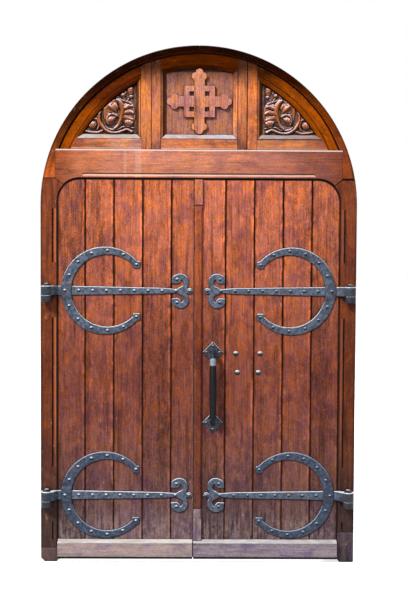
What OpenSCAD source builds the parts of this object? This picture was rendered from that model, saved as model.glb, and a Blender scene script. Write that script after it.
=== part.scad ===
// Arched double door: two boarded leaves on forged strap hinges in an oak frame, under a
// three-panel tympanum with a cross and carved foliage. Millimetres, Z up.
// The outer face looks along -Y, the floor is z = 0 and x = 0 is the middle of the frame.

/* [Frame] */
// Overall width of the frame
frame_w = 1692; // [1672:4:1712]
// Height of the centre of the arch above the floor
spring_z = 1928; // [1920:1:1936]
// Depth of the frame from front to back
frame_d = 140; // [125:5:160]
// Width of each jamb on its face
jamb_w = 88; // [84:1:92]
// Height of the doorway head above the floor
head_z = 2068; // [2060:1:2076]
// Height of the transom on its face
transom_h = 154; // [146:1:162]
// Radius of the rounded corners of the doorway
corner_r = 122; // [110:1:130]
// How far the transom runs past the doorway at each end
transom_shoulder = 9; // [6:1:12]
// Width of the arch rim on its face
rim_w = 38; // [34:1:42]
// Width of the stop that the leaves close against
stop_w = 15; // [12:1:18]
// Height of the block that the left jamb stands on
left_foot_h = 74; // [60:1:90]
// Height of the block that the right jamb stands on
right_foot_h = 162; // [150:1:174]
// Chamfer of the left foot block at its outer bottom corner
foot_chamfer = 20; // [10:1:30]
// Distance of the jambs' edge groove from the doorway
quirk_edge = 24; // [18:1:28]
// Distance of the transom's edge groove from the doorway
head_quirk_edge = 18; // [14:1:24]
// Width of the jambs' edge groove
quirk_w = 8; // [5:1:10]
// Width of the transom's edge groove, which slopes below
head_quirk_w = 13; // [10:1:16]
// Height of the dowel holes for the wall fixings, lowest one
wall_hole_z = 500; // [480:10:560]
// Distance between the wall fixings
wall_hole_pitch = 600; // [540:10:620]
// Diameter of the wall fixing holes
wall_hole_d = 12; // [8:1:14]

/* [Tympanum] */
// Face width of the curved stiles and the curved top rail
curved_stile_w = 60; // [56:1:64]
// Width of the sloped moulding on the curved stiles and the curved top rail
curved_moulding_w = 20; // [16:1:24]
// Face width of the straight stiles
stile_w = 52; // [46:1:56]
// Width of the sloped moulding on the straight stiles
moulding_w = 24; // [20:1:27]
// Depth of the sloped moulding
moulding_d = 14; // [10:1:16]
// Half the width of the centre frame
centre_half = 257; // [252:1:264]
// Face height of the bottom rails
bottom_rail_h = 59; // [52:1:59]
// Height of the sloped sill
sill_h = 24; // [18:1:25]
// Setback of the tympanum framing behind the face of the frame
tympanum_set = 10; // [6:1:14]
// Thickness of the tympanum framing
tympanum_t = 58; // [50:1:64]
// Thickness of the panels
panel_t = 16; // [12:1:20]
// Gap between the tips of the cross and the frame above and below it
cross_clear = 1.5; // [1:0.5:6]
// Gap between the tips of the cross and the frame on both sides
cross_side_clear = 7; // [2:1:14]
// Width of an arm of the cross
cross_arm_w = 55; // [50:1:60]
// Side of the square in the middle of the cross
cross_square = 166; // [156:1:172]
// Side of the four square holes in the cross
cross_hole = 24; // [20:1:26]
// Thickness of the cross
cross_t = 16; // [12:1:20]

/* [Leaves] */
// Face width of the boards, apart from the first and the last of a leaf
board_w = 154; // [150:1:156]
// Face width of the board on the hinge side of each leaf
first_board_w = 148; // [144:1:152]
// Thickness of the boards
board_t = 42; // [38:1:46]
// Gap between a leaf and its jamb
hinge_gap = 3; // [2:0.5:4]
// Gap between a leaf and the doorway head
top_gap = 6; // [4:0.5:8]
// Height of the bottom of the leaves above the floor
leaf_bottom = 22; // [15:1:28]
// Place of the line where the leaves meet
meeting_x = -25; // [-30:1:-20]
// Gap between the leaves
meeting_gap = 4; // [4:0.5:6]
// Depth and width of the chamfers that form the V joints
v_cut = 5; // [4:0.5:6]
// Thickness of the tongues
tongue_t = 12; // [10:1:14]
// Length of the tongues
tongue_l = 10; // [8:1:12]
// Thickness of the ledges and braces
ledge_t = 28; // [24:1:30]
// Height of the ledges
ledge_h = 150; // [135:5:160]
// Width of the braces
brace_w = 105; // [90:5:115]
// Width of the strip on the meeting edge
strip_w = 44; // [38:1:48]
// Thickness of the strip on the meeting edge
strip_t = 14; // [10:1:18]
// Height of the weatherboards above the bottom of the leaves
weather_h = 103; // [90:1:110]
// How far the weatherboards stand out
weather_d = 30; // [24:1:32]
// Drop of the sloped top of the weatherboards
weather_slope = 15; // [10:1:20]

/* [Hinges] */
// Gap between the lower crescents and the weatherboards
crescent_clear = 5; // [3:1:12]
// Height of the upper straps above the floor
upper_strap_z = 1468; // [1460:1:1475]
// Thickness of the straps and crescents
strap_t = 7; // [6:0.5:8]
// Width of a strap at its root
strap_w = 50; // [44:1:54]
// Width of a strap before its scroll
strap_end_w = 32; // [28:1:36]
// Outer radius of a crescent
crescent_r = 235; // [225:1:240]
// Width of a crescent's band at the hinge side
crescent_w = 55; // [50:1:60]
// Side of the squared tips of a crescent
crescent_tip = 39; // [35:1:44]
// How far the inner circle of a crescent is shifted towards the tips
crescent_shift = 13; // [8:1:16]
// Outer radius of the scrolls
scroll_r = 45; // [42:1:46]
// Diameter of the hinge pins
pin_d = 26; // [22:1:30]
// Running clearance between a pin and its eye
pin_clear = 0.05; // [0.02:0.01:0.1]
// Outer diameter of the eyes
eye_d = 60; // [54:1:62]
// Distance of the pins from the edge of the doorway
pin_side = 52; // [49:1:55]
// Gap between an eye and the jamb behind it
eye_gap = 1.5; // [1:0.5:3]
// Height of the collar that carries an eye
collar_h = 35; // [30:1:40]
// Side of the square shank driven into the jamb
shank_w = 24; // [20:1:26]
// Depth of the shank in the jamb
shank_in = 75; // [60:5:85]
// Diameter of the nail heads
nail_d = 18; // [14:1:20]
// Height of the nail heads
nail_h = 6; // [5:0.5:8]

/* [Fittings] */
// Gap between the diamond plates and the meeting strip
pull_gap = 1; // [0.5:0.5:6]
// Height of the lower plate of the pull handle
pull_low_z = 759; // [750:1:770]
// Height of the upper plate of the pull handle
pull_high_z = 1139; // [1130:1:1150]
// Half the diagonal of the diamond plates
pull_plate_r = 57; // [52:1:60]
// Thickness of the diamond plates
pull_plate_t = 5; // [4:0.5:7]
// Distance of the grip's centre line from the leaf
pull_reach = 58; // [54:1:66]
// Diameter of the grip
grip_d = 37; // [32:1:38]
// Diameter of the bow at its ends
bow_d = 22; // [18:1:26]
// Gap between the plates of the pull handle and the nearest coach bolt
coach_gap = 52; // [46:1:58]
// Diameter of the domed heads of the coach bolts
coach_head_d = 29; // [26:1:32]
// Diameter of the shanks of the coach bolts
coach_d = 10; // [8:1:12]
// Travel of the draw bolt
draw_travel = 75; // [65:5:85]
// Height of the draw bolt above the floor
draw_z = 1081; // [1078:1:1084]
// Height of the draw bolt's bar
draw_bar_h = 32; // [28:1:34]
// Thickness of the draw bolt's bar
draw_bar_t = 14; // [12:1:16]
// Diameter of the rods of the top and foot bolts
rod_d = 16; // [14:1:18]
// Travel of the top and foot bolts
rod_travel = 50; // [45:1:55]

/* [Hidden] */
$fn = 96;

oak = "#B0602F";
dark_oak = "#7A4425";
pale_oak = "#A8907E";
iron = "#5F7185";
black_iron = "#2B2B30";

// Room between two pieces of the frame that meet on a curve, and between a piece and its seat
fit = 0.3;
// Room round a square shank or tenon in its mortise
mortise_fit = 0.15;
// How far a cutting shape runs past what it cuts
past = 2;

outer_r = frame_w / 2;
door_half = outer_r - jamb_w;
foot_x = door_half + transom_shoulder;
rim_in_r = outer_r - rim_w;
corner_x = door_half - corner_r;
corner_z = head_z - corner_r;
mitre_angle = 45;
tip_x = corner_x + corner_r * cos(mitre_angle);
tip_z = corner_z + corner_r * sin(mitre_angle);
transom_top = head_z + transom_h;
stop_y = board_t + 3;

leaf_x = -door_half + hinge_gap;
leaf_top = head_z - top_gap;
boards = 5;
left_edge = meeting_x - meeting_gap / 2;
right_edge = -meeting_x - meeting_gap / 2;
pull_x = strip_w - right_edge + pull_gap + pull_plate_r;
ledge_y = board_t + ledge_t;
ledge_set = 15;
lock_ledge_z = draw_z;
top_ledge_z = leaf_top - corner_r - ledge_h / 2 - 3;
brace_set = 30;

weather_top = leaf_bottom + weather_h;
lower_strap_z = weather_top + crescent_r + crescent_clear;

pin_x = -door_half - pin_side;
pin_y = -eye_d / 2 - eye_gap;
hinge_zs = [lower_strap_z, upper_strap_z];
strap_nails = 8;
crescent_edge = 19;
neck_end_x = leaf_x + crescent_edge - 2;
crescent_x = leaf_x + crescent_edge + crescent_r;
crescent_in_r = crescent_r + crescent_shift - crescent_w;
crescent_band = (crescent_r + crescent_in_r) / 2;
crescent_nail_step = 23.4;
tip_nails = 6;
bud_r = 15;
strap_tip_x = right_edge - strip_w - 8;
bud_x = strap_tip_x - bud_r - 3;
stem_x = bud_x - 24;
nail_first_x = leaf_x + 40;
nail_pitch = (bud_x - nail_first_x) / (strap_nails + 1);
scroll_x = stem_x - 27;
scroll_z = 48;
bulb_r = 24;
bulb_x = scroll_x - 20;
bulb_z = scroll_z + 14;

// A flat shape drawn in x and z, as thick as from y0 back to y1
module slab(y0, y1) {
    translate([0, y1, 0])
        rotate([90, 0, 0])
            linear_extrude(height = y1 - y0)
                children();
}

// A profile drawn in x and y, standing from z0 up to z1
module post(z0, z1) {
    translate([0, 0, z0])
        linear_extrude(height = z1 - z0)
            children();
}

// A profile drawn in y and z, lying from x0 to x1
module rail(x0, x1) {
    translate([x0, 0, 0])
        rotate([90, 0, 90])
            linear_extrude(height = x1 - x0)
                children();
}

// A profile drawn in radius and depth, swept over the arch
module arch_sweep() {
    translate([0, 0, spring_z])
        rotate([90, 0, 0])
            rotate_extrude(angle = 180)
                mirror([0, 1])
                    children();
}

// The doorway with its rounded corners, drawn in by the side and top gaps
module doorway2d(side, top) {
    w = door_half - side;
    t = head_z - top;
    r = corner_r - side;
    union() {
        translate([-w, -past])
            square([2 * w, t - r + past]);
        translate([-w + r, 0])
            square([2 * (w - r), t]);
        for (s = [-1, 1])
            translate([s * (w - r), t - r])
                circle(r = r);
    }
}

// The outline of the whole frame: straight sides under a half circle
module outline2d() {
    union() {
        translate([-outer_r, 0])
            square([frame_w, spring_z]);
        translate([0, spring_z])
            circle(r = outer_r, $fn = 192);
    }
}

// The right-hand side of the joint between jamb and transom, down into the doorway
function joint_run(k) = [tip_x - k, tip_z - k * (head_z - tip_z) / (foot_x - tip_x)];

// All that lies under that joint on the right-hand side
module jamb_zone2d(z0) {
    k = corner_r;
    inner = joint_run(k);
    polygon([
        [inner[0], z0], [outer_r + past, z0], [outer_r + past, head_z], [foot_x, head_z], inner
    ]);
}

// A V-shaped groove cut into the face along z at x
module upright_quirk(x, z0, z1) {
    post(z0, z1)
        polygon([[x - quirk_w / 2, -past], [x - quirk_w / 2, 0], [x, quirk_w / 2],
                 [x + quirk_w / 2, 0], [x + quirk_w / 2, -past]]);
}

// The right jamb's timber between two heights, without its holes
module jamb_timber(z0) {
    union() {
        slab(0, stop_y)
            difference() {
                intersection() {
                    outline2d();
                    jamb_zone2d(z0);
                }
                doorway2d(0, 0);
            }
        slab(stop_y, frame_d)
            difference() {
                intersection() {
                    outline2d();
                    jamb_zone2d(z0);
                }
                doorway2d(stop_w, stop_w);
            }
    }
}

module shank_mortise(z) {
    w = shank_w + 2 * mortise_fit;
    translate([-pin_x - w / 2, -past, z - strap_w / 2 - collar_h / 2 - w / 2])
        cube([w, shank_in + past + mortise_fit, w]);
}

// Right jamb from its foot block to the mitre; the left one is its mirror image
module jamb(foot_h) {
    quirk_x = door_half + quirk_edge;
    above = 152;
    below = 146;
    difference() {
        jamb_timber(foot_h);
        upright_quirk(quirk_x, upper_strap_z + above, corner_z - 40);
        upright_quirk(quirk_x, lower_strap_z + above, upper_strap_z - below);
        upright_quirk(quirk_x, max(118, foot_h + 20), lower_strap_z - below);
        for (z = hinge_zs)
            shank_mortise(z);
        for (i = [0 : 2])
            translate([door_half - stop_w - past, (stop_y + frame_d) / 2, wall_hole_z + i * wall_hole_pitch])
                rotate([0, 90, 0])
                    cylinder(d = wall_hole_d, h = jamb_w + stop_w + 2 * past);
    }
}

// Foot of the right jamb, with its bottom corners cut back outside and inside
module foot_block(h, chamfer, inner) {
    x = door_half - stop_w;
    intersection() {
        jamb_timber(0);
        slab(-past, frame_d + past)
            polygon([
                [x + inner, 0], [outer_r - chamfer, 0], [outer_r, chamfer], [outer_r, h],
                [x, h], [x, inner + 6]
            ]);
    }
}

module right_jamb() {
    color(oak)
        jamb(right_foot_h);
}

module left_jamb() {
    color(oak)
        mirror([1, 0, 0])
            jamb(left_foot_h);
}

module right_foot_block() {
    color(dark_oak)
        foot_block(right_foot_h, 4, 28);
}

module left_foot_block() {
    color(dark_oak)
        mirror([1, 0, 0])
            foot_block(left_foot_h, foot_chamfer, 4);
}

// Right half of the arch rim, standing on the jamb beside the transom's end
module arch_half() {
    slab(0, frame_d)
        difference() {
            intersection() {
                outline2d();
                translate([0, head_z])
                    square([outer_r + past, outer_r + past]);
            }
            translate([-past, head_z - past])
                square([foot_x + past, transom_h + past]);
            intersection() {
                translate([0, spring_z])
                    circle(r = rim_in_r, $fn = 192);
                translate([-past, transom_top - past])
                    square([outer_r, outer_r]);
            }
        }
}

module arch_right() {
    color(oak)
        arch_half();
}

module arch_left() {
    color(oak)
        mirror([1, 0, 0])
            arch_half();
}

module transom_timber2d() {
    k = corner_r;
    inner = joint_run(k);
    polygon([
        [foot_x, transom_top], [foot_x, head_z], inner,
        [-inner[0], inner[1]], [-foot_x, head_z], [-foot_x, transom_top]
    ]);
}

module transom() {
    keep_x = left_edge - rod_x_set;
    color(oak)
        difference() {
            union() {
                slab(0, stop_y)
                    difference() {
                        transom_timber2d();
                        doorway2d(0, 0);
                    }
                slab(stop_y, frame_d)
                    difference() {
                        transom_timber2d();
                        doorway2d(stop_w, stop_w);
                    }
            }
            translate([0, 0, head_z + head_quirk_edge])
                rail(-corner_x + 12, corner_x - 12)
                    polygon([[-past, -head_quirk_w / 2], [0, -head_quirk_w / 2],
                             [quirk_w / 2, head_quirk_w / 2 - 1.5], [0, head_quirk_w / 2],
                             [-past, head_quirk_w / 2]]);
            translate([keep_x, top_rod_y, head_z - stop_w - past])
                cylinder(d = rod_d + 2, h = rod_travel + stop_w + past);
        }
}

// Depths of the tympanum framing, front to back
frame_y0 = tympanum_set;
frame_y1 = tympanum_set + tympanum_t;
slope_y = frame_y0 + moulding_d;
panel_y = slope_y + 8;
rebate = 10;
curved_in_r = rim_in_r - curved_stile_w;
panel_r = curved_in_r - curved_moulding_w;
sill_z = transom_top + bottom_rail_h;
panel_z = sill_z + sill_h;

// Section of a member: 0 is its outer edge, w its width on the face and m its moulding
function member(w, m) = [
    [0, frame_y0], [w, frame_y0], [w + m, slope_y], [w + m, panel_y],
    [w + m - rebate, panel_y], [w + m - rebate, frame_y1], [0, frame_y1]
];

// Section of a bottom rail, drawn in y and z, with the sloped sill on top
module bottom_rail2d() {
    polygon([
        [frame_y0, transom_top], [frame_y0, sill_z], [slope_y, panel_z], [panel_y, panel_z],
        [panel_y, panel_z - rebate], [frame_y1, panel_z - rebate], [frame_y1, transom_top]
    ]);
}

// Edges of a side frame's upright, and heights on the arc of radius r
side_joint_x = centre_half + fit;
upright_in = side_joint_x + stile_w;
upright_panel = upright_in + moulding_w;
centre_in = centre_half - stile_w;
centre_panel_half = centre_in - moulding_w;
function arc_z(r, x) = spring_z + sqrt(r * r - x * x);
function arc_x(r, z) = sqrt(r * r - (z - spring_z) * (z - spring_z));

module curved_member() {
    arch_sweep()
        polygon([for (p = member(curved_stile_w, curved_moulding_w)) [rim_in_r - fit - p[0], p[1]]]);
}

// Region of an upright whose flat lies between x = far and x = in and whose moulding reaches
// panel_x: it butts against the rim, and its moulding is mitred at the top and on the sill
module upright_zone2d(far, in, panel_x) {
    away = far < in ? -past : past;
    polygon([
        [far + away, transom_top], [in, transom_top], [in, sill_z], [panel_x, panel_z],
        [panel_x, arc_z(panel_r, panel_x)], [in, arc_z(curved_in_r, in)],
        [in, arc_z(rim_in_r, in) - fit], [far, arc_z(rim_in_r, far) - fit],
        [far + away, arc_z(rim_in_r, far) - fit]
    ]);
}

// Region of a side frame's bottom rail with its sill, on the right-hand side
module side_rail_zone2d() {
    intersection() {
        polygon([
            [upright_in, transom_top], [upright_in, sill_z], [upright_panel, panel_z],
            [arc_x(panel_r, panel_z), panel_z], [arc_x(curved_in_r, sill_z), sill_z],
            [outer_r, sill_z], [outer_r, transom_top]
        ]);
        translate([0, spring_z])
            circle(r = curved_in_r - fit, $fn = 192);
    }
}

module curved_stile() {
    big = outer_r + past;
    difference() {
        intersection() {
            curved_member();
            slab(frame_y0 - past, frame_y1 + past)
                polygon([
                    [upright_in, arc_z(curved_in_r, upright_in)], [upright_in, spring_z + big],
                    [big, spring_z + big], [big, transom_top], [upright_panel, transom_top],
                    [upright_panel, arc_z(panel_r, upright_panel)]
                ]);
        }
        slab(frame_y0 - past, frame_y1 + past)
            side_rail_zone2d();
    }
}

module side_upright() {
    intersection() {
        translate([side_joint_x, 0, 0])
            post(transom_top, spring_z + outer_r)
                polygon(member(stile_w, moulding_w));
        slab(frame_y0 - past, frame_y1 + past)
            upright_zone2d(side_joint_x, upright_in, upright_panel);
    }
}

module side_bottom_rail() {
    intersection() {
        rail(upright_in - past, outer_r)
            bottom_rail2d();
        slab(frame_y0 - past, frame_y1 + past)
            side_rail_zone2d();
    }
}

// Board of a side panel, held in the rebates of its frame
module side_panel_board() {
    slab(panel_y, panel_y + panel_t)
        intersection() {
            translate([upright_panel - rebate + fit, panel_z - rebate + fit])
                square([outer_r, outer_r]);
            translate([0, spring_z])
                circle(r = panel_r + rebate - fit, $fn = 192);
        }
}

module right_curved_stile() {
    color(oak)
        curved_stile();
}

module left_curved_stile() {
    color(oak)
        mirror([1, 0, 0])
            curved_stile();
}

module right_upright() {
    color(oak)
        side_upright();
}

module left_upright() {
    color(oak)
        mirror([1, 0, 0])
            side_upright();
}

module right_bottom_rail() {
    color(oak)
        side_bottom_rail();
}

module left_bottom_rail() {
    color(oak)
        mirror([1, 0, 0])
            side_bottom_rail();
}

module right_carved_panel() {
    color(oak)
        side_panel_board();
}

module left_carved_panel() {
    color(oak)
        mirror([1, 0, 0])
            side_panel_board();
}

module centre_stile() {
    intersection() {
        translate([centre_half, 0, 0])
            mirror([1, 0, 0])
                post(transom_top, spring_z + outer_r)
                    polygon(member(stile_w, moulding_w));
        slab(frame_y0 - past, frame_y1 + past)
            upright_zone2d(centre_half, centre_in, centre_panel_half);
    }
}

module centre_stiles() {
    color(oak)
        for (s = [0, 1])
            mirror([s, 0, 0])
                centre_stile();
}

module centre_top_rail() {
    z_in = arc_z(panel_r, centre_panel_half);
    z_flat = arc_z(curved_in_r, centre_in);
    big = spring_z + outer_r;
    color(oak)
        intersection() {
            curved_member();
            slab(frame_y0 - past, frame_y1 + past)
                polygon([
                    [-centre_in, z_flat], [-centre_in, big], [centre_in, big],
                    [centre_in, z_flat], [centre_panel_half, z_in], [-centre_panel_half, z_in]
                ]);
        }
}

module centre_bottom_rail() {
    color(oak)
        intersection() {
            rail(-centre_in, centre_in)
                bottom_rail2d();
            slab(frame_y0 - past, frame_y1 + past)
                polygon([
                    [-centre_in, transom_top], [-centre_in, sill_z], [-centre_panel_half, panel_z],
                    [centre_panel_half, panel_z], [centre_in, sill_z], [centre_in, transom_top]
                ]);
        }
}

module centre_panel() {
    w = centre_panel_half + rebate - fit;
    color("#A56A4C")
        slab(panel_y, panel_y + panel_t)
            intersection() {
                translate([-w, panel_z - rebate + fit])
                    square([2 * w, outer_r]);
                translate([0, spring_z])
                    circle(r = panel_r + rebate - fit, $fn = 192);
            }
}

cross_z = (panel_z + spring_z + panel_r) / 2;

// One arm of the cross with its three-lobed end, pointing along x
module cross_arm2d(reach) {
    lobe_r = 20;
    side_lobe_x = reach - 2 * lobe_r;
    union() {
        translate([0, -cross_arm_w / 2])
            square([side_lobe_x + 6, cross_arm_w]);
        translate([reach - lobe_r, 0])
            circle(r = lobe_r);
        for (s = [-1, 1])
            translate([side_lobe_x, s * 21])
                circle(r = lobe_r);
    }
}

module cross() {
    hole_at = cross_arm_w / 2 + cross_hole / 2 + 2;
    reaches = [
        centre_panel_half - cross_side_clear, (spring_z + panel_r - panel_z) / 2 - cross_clear
    ];
    color("#B5714B")
        slab(panel_y - cross_t, panel_y)
            translate([0, cross_z])
                difference() {
                    union() {
                        for (i = [0 : 3])
                            rotate(90 * i)
                                cross_arm2d(reaches[i % 2]);
                        square(cross_square, center = true);
                    }
                    for (sx = [-1, 1], sz = [-1, 1])
                        translate([sx * hole_at, sz * hole_at])
                            square(cross_hole, center = true);
                }
}

// Hinge pin on its collar, with a square shank driven into the left jamb
module pintle(z) {
    eye_low = z - strap_w / 2;
    cap_r = eye_d / 2 - 8;
    cap_h = 15;
    cap_sphere_r = (cap_r * cap_r + cap_h * cap_h) / (2 * cap_h);
    shank_z = eye_low - collar_h / 2;
    union() {
        translate([pin_x, pin_y, eye_low - collar_h - fit])
            cylinder(d = eye_d, h = collar_h);
        translate([pin_x, pin_y, eye_low - 2 * fit])
            cylinder(d = pin_d, h = strap_w + 4 * fit);
        translate([pin_x, pin_y, z + strap_w / 2 + fit])
            intersection() {
                cylinder(r = cap_r, h = cap_h);
                translate([0, 0, cap_h - cap_sphere_r])
                    sphere(r = cap_sphere_r);
            }
        translate([pin_x - shank_w / 2, pin_y, shank_z - shank_w / 2])
            cube([shank_w, shank_in - pin_y, shank_w]);
    }
}

module upper_left_pintle() {
    color(iron)
        pintle(upper_strap_z);
}

module lower_left_pintle() {
    color(iron)
        pintle(lower_strap_z);
}

module upper_right_pintle() {
    color(iron)
        mirror([1, 0, 0])
            pintle(upper_strap_z);
}

module lower_right_pintle() {
    color(iron)
        mirror([1, 0, 0])
            pintle(lower_strap_z);
}

// Section of board i of a leaf whose meeting edge is at edge_x, counted from the hinge side
module board_section(i, edge_x) {
    x0 = i > 1 ? leaf_x + first_board_w + (i - 2) * board_w : leaf_x;
    x1 = i < boards ? leaf_x + first_board_w + (i - 1) * board_w : edge_x;
    ty = (board_t - tongue_t) / 2;
    room = 0.5;
    front_left = i > 1 ? [[x0, v_cut], [x0 + v_cut, 0]] : [[x0, 0]];
    right_side = i < boards
        ? [[x1 - v_cut, 0], [x1, v_cut], [x1, ty], [x1 + tongue_l, ty],
           [x1 + tongue_l, ty + tongue_t], [x1, ty + tongue_t], [x1, board_t]]
        : [[x1, 0], [x1 - 3, board_t]];
    left_side = i > 1
        ? [[x0, board_t], [x0, ty + tongue_t + room], [x0 + tongue_l + room, ty + tongue_t + room],
           [x0 + tongue_l + room, ty - room], [x0, ty - room]]
        : [[x0, board_t]];
    polygon(concat(front_left, right_side, left_side));
}

module leaf_board(i, edge_x) {
    intersection() {
        post(leaf_bottom, leaf_top)
            board_section(i, edge_x);
        slab(-past, board_t + past)
            doorway2d(hinge_gap, top_gap);
    }
}

module left_board_1() {
    color(oak)
        leaf_board(1, left_edge);
}

module left_board_2() {
    color(oak)
        leaf_board(2, left_edge);
}

module left_board_3() {
    color(oak)
        leaf_board(3, left_edge);
}

module left_board_4() {
    color(oak)
        leaf_board(4, left_edge);
}

module left_board_5() {
    color(oak)
        leaf_board(5, left_edge);
}

// Right boards are drawn on the left and mirrored, with the holes of the coach bolts
module right_board(i) {
    difference() {
        mirror([1, 0, 0])
            leaf_board(i, right_edge);
        coach_holes();
    }
}

module right_board_1() {
    color(oak)
        right_board(1);
}

module right_board_2() {
    color(oak)
        right_board(2);
}

module right_board_3() {
    color(oak)
        right_board(3);
}

module right_board_4() {
    color(oak)
        right_board(4);
}

module right_board_5() {
    color(oak)
        right_board(5);
}

ledge_x = -door_half + stop_w + 6;
ledge_zs = [lower_strap_z, lock_ledge_z, upper_strap_z, top_ledge_z];

// Four ledges across the back of a leaf
module ledges(edge_x) {
    for (z = ledge_zs)
        translate([ledge_x, board_t, z - ledge_h / 2])
            cube([edge_x - ledge_set - ledge_x, ledge_t, ledge_h]);
}

// A brace from the top of one ledge at the hinge side up to the next at the meeting side
module brace(z0, z1, edge_x) {
    x0 = ledge_x + brace_set;
    x1 = edge_x - ledge_set - brace_set;
    a = atan2(z1 - z0, x1 - x0);
    w = brace_w / cos(a);
    slab(board_t, board_t + ledge_t)
        intersection() {
            polygon([
                [x0, z0], [x0 + past, z0 - w], [x1, z1 - w], [x1, z1], [x1 - past, z1 + w], [x0, z0 + w]
            ]);
            translate([x0, z0])
                square([x1 - x0, z1 - z0]);
        }
}

module braces(edge_x) {
    for (i = [0, 2])
        brace(ledge_zs[i] + ledge_h / 2, ledge_zs[i + 1] - ledge_h / 2, edge_x);
}

module left_ledges() {
    color(dark_oak)
        ledges(left_edge);
}

module right_ledges() {
    color(dark_oak)
        difference() {
            mirror([1, 0, 0])
                ledges(right_edge);
            coach_holes();
        }
}

module left_braces() {
    color(dark_oak)
        braces(left_edge);
}

module right_braces() {
    color(dark_oak)
        mirror([1, 0, 0])
            braces(right_edge);
}

// Section of a weatherboard, drawn in y and z
module weather2d() {
    nose = weather_top - weather_slope;
    polygon([
        [0, leaf_bottom], [0, weather_top], [-weather_d, nose], [-weather_d, leaf_bottom + 8],
        [-weather_d + 6, leaf_bottom], [-weather_d / 2, leaf_bottom], [-weather_d / 2 + 3, leaf_bottom + 5],
        [-weather_d / 2 + 6, leaf_bottom]
    ]);
}

module left_weatherboard() {
    color(pale_oak)
        rail(leaf_x + 1, left_edge)
            weather2d();
}

module right_weatherboard() {
    color(pale_oak)
        mirror([1, 0, 0])
            rail(leaf_x + 1, right_edge)
                weather2d();
}

// Strip on the meeting edge: square blocks at both ends, chamfered between them
module meeting_strip() {
    x0 = -right_edge;
    x1 = x0 + strip_w;
    chamfer = 8;
    block_h = 147;
    low_block_top = 233;
    high_block_low = leaf_top - block_h;
    color(oak)
        difference() {
            union() {
                post(leaf_bottom, low_block_top)
                    polygon([[x0, 0], [x1, 0], [x1, -strip_t], [x0, -strip_t]]);
                post(low_block_top, high_block_low)
                    polygon([[x0, 0], [x1, 0], [x1, -strip_t + chamfer], [x1 - chamfer, -strip_t],
                             [x0 + chamfer, -strip_t], [x0, -strip_t + chamfer]]);
                post(high_block_low, leaf_top)
                    polygon([[x0, 0], [x1, 0], [x1, -strip_t], [x0, -strip_t]]);
            }
            rail(x0 - past, x1 + past)
                polygon([
                    [past, weather_top + fit + past * weather_slope / weather_d],
                    [-weather_d, weather_top + fit - weather_slope],
                    [-weather_d, leaf_bottom - past], [past, leaf_bottom - past]
                ]);
        }
}

// Upper curl of a strap's scroll: a disc with a comma-shaped opening, ending in a bulb
module scroll2d() {
    opening_r = 20;
    far = scroll_r + past;
    union() {
        difference() {
            translate([scroll_x, scroll_z])
                circle(r = scroll_r);
            translate([scroll_x - 1, scroll_z - 6])
                circle(r = opening_r);
            translate([scroll_x, scroll_z])
                polygon([[-far, -37], [-15, -37], [-1, -26], [-1, -8], [-far, -8]]);
        }
        translate([bulb_x, bulb_z])
            circle(r = bulb_r);
        translate([stem_x - 12, 0])
            square([22, 26]);
    }
}

module strap2d() {
    root_x = neck_end_x - 3;
    end_x = stem_x - 127;
    neck_x = stem_x - 52;
    union() {
        polygon([
            [root_x, strap_w / 2], [end_x, strap_end_w / 2], [neck_x, 10], [stem_x, 13],
            [bud_x, 9], [bud_x, -9], [stem_x, -13], [neck_x, -10], [end_x, -strap_end_w / 2],
            [root_x, -strap_w / 2]
        ]);
        translate([bud_x, 0])
            circle(r = bud_r);
        polygon([[bud_x, bud_r - 3], [strap_tip_x, 0], [bud_x, -bud_r + 3]]);
        for (s = [0, 1])
            mirror([0, s])
                scroll2d();
    }
}

// Plan of the neck that runs from the eye to the leaf, in x and y
module neck2d() {
    x = leaf_x;
    polygon([
        [neck_end_x, 0], [neck_end_x, -strap_t], [x + 4, -strap_t - 4], [x - 16, pin_y - 9],
        [pin_x + 22, pin_y - 20], [pin_x, pin_y - eye_d / 2], [pin_x, pin_y],
        [pin_x + 20, pin_y + 20], [x - 14, -3], [x, -1.5]
    ]);
}

// Long strap with its rolled eye, neck, taper, scroll and bud
module strap(z) {
    translate([0, 0, z])
        difference() {
            union() {
                slab(-strap_t, 0)
                    strap2d();
                post(-strap_w / 2, strap_w / 2)
                    union() {
                        neck2d();
                        translate([pin_x, pin_y])
                            circle(d = eye_d);
                    }
            }
            translate([pin_x, pin_y, -strap_w])
                cylinder(r = pin_d / 2 + pin_clear, h = 2 * strap_w);
        }
}

// Angle of the end nail of a crescent, seen from its centre
half_turn = 180;
crescent_end = half_turn - tip_nails * crescent_nail_step;
function crescent_mid(a) = crescent_band + crescent_shift * cos(a) / 2;
function crescent_at(a) = [crescent_x + crescent_mid(a) * cos(a), crescent_mid(a) * sin(a)];

// Squared end of a crescent, with its corners taken off
module crescent_tip2d() {
    k = crescent_tip / 2;
    c = crescent_tip / 8;
    polygon([
        [c - k, -k], [k - c, -k], [k, c - k], [k, k - c],
        [k - c, k], [c - k, k], [-k, k - c], [-k, c - k]
    ]);
}

module crescent2d() {
    bulb = crescent_at(crescent_end);
    far = 2 * crescent_r;
    union() {
        difference() {
            translate([crescent_x, 0])
                circle(r = crescent_r, $fn = 128);
            translate([crescent_x + crescent_shift, 0])
                circle(r = crescent_in_r, $fn = 128);
            translate([crescent_x, 0])
                polygon([
                    [0, 0], far * [cos(crescent_end), sin(crescent_end)],
                    [far, 0], far * [cos(crescent_end), -sin(crescent_end)]
                ]);
        }
        for (s = [-1, 1])
            translate([bulb[0], s * bulb[1]])
                crescent_tip2d();
    }
}

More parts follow.
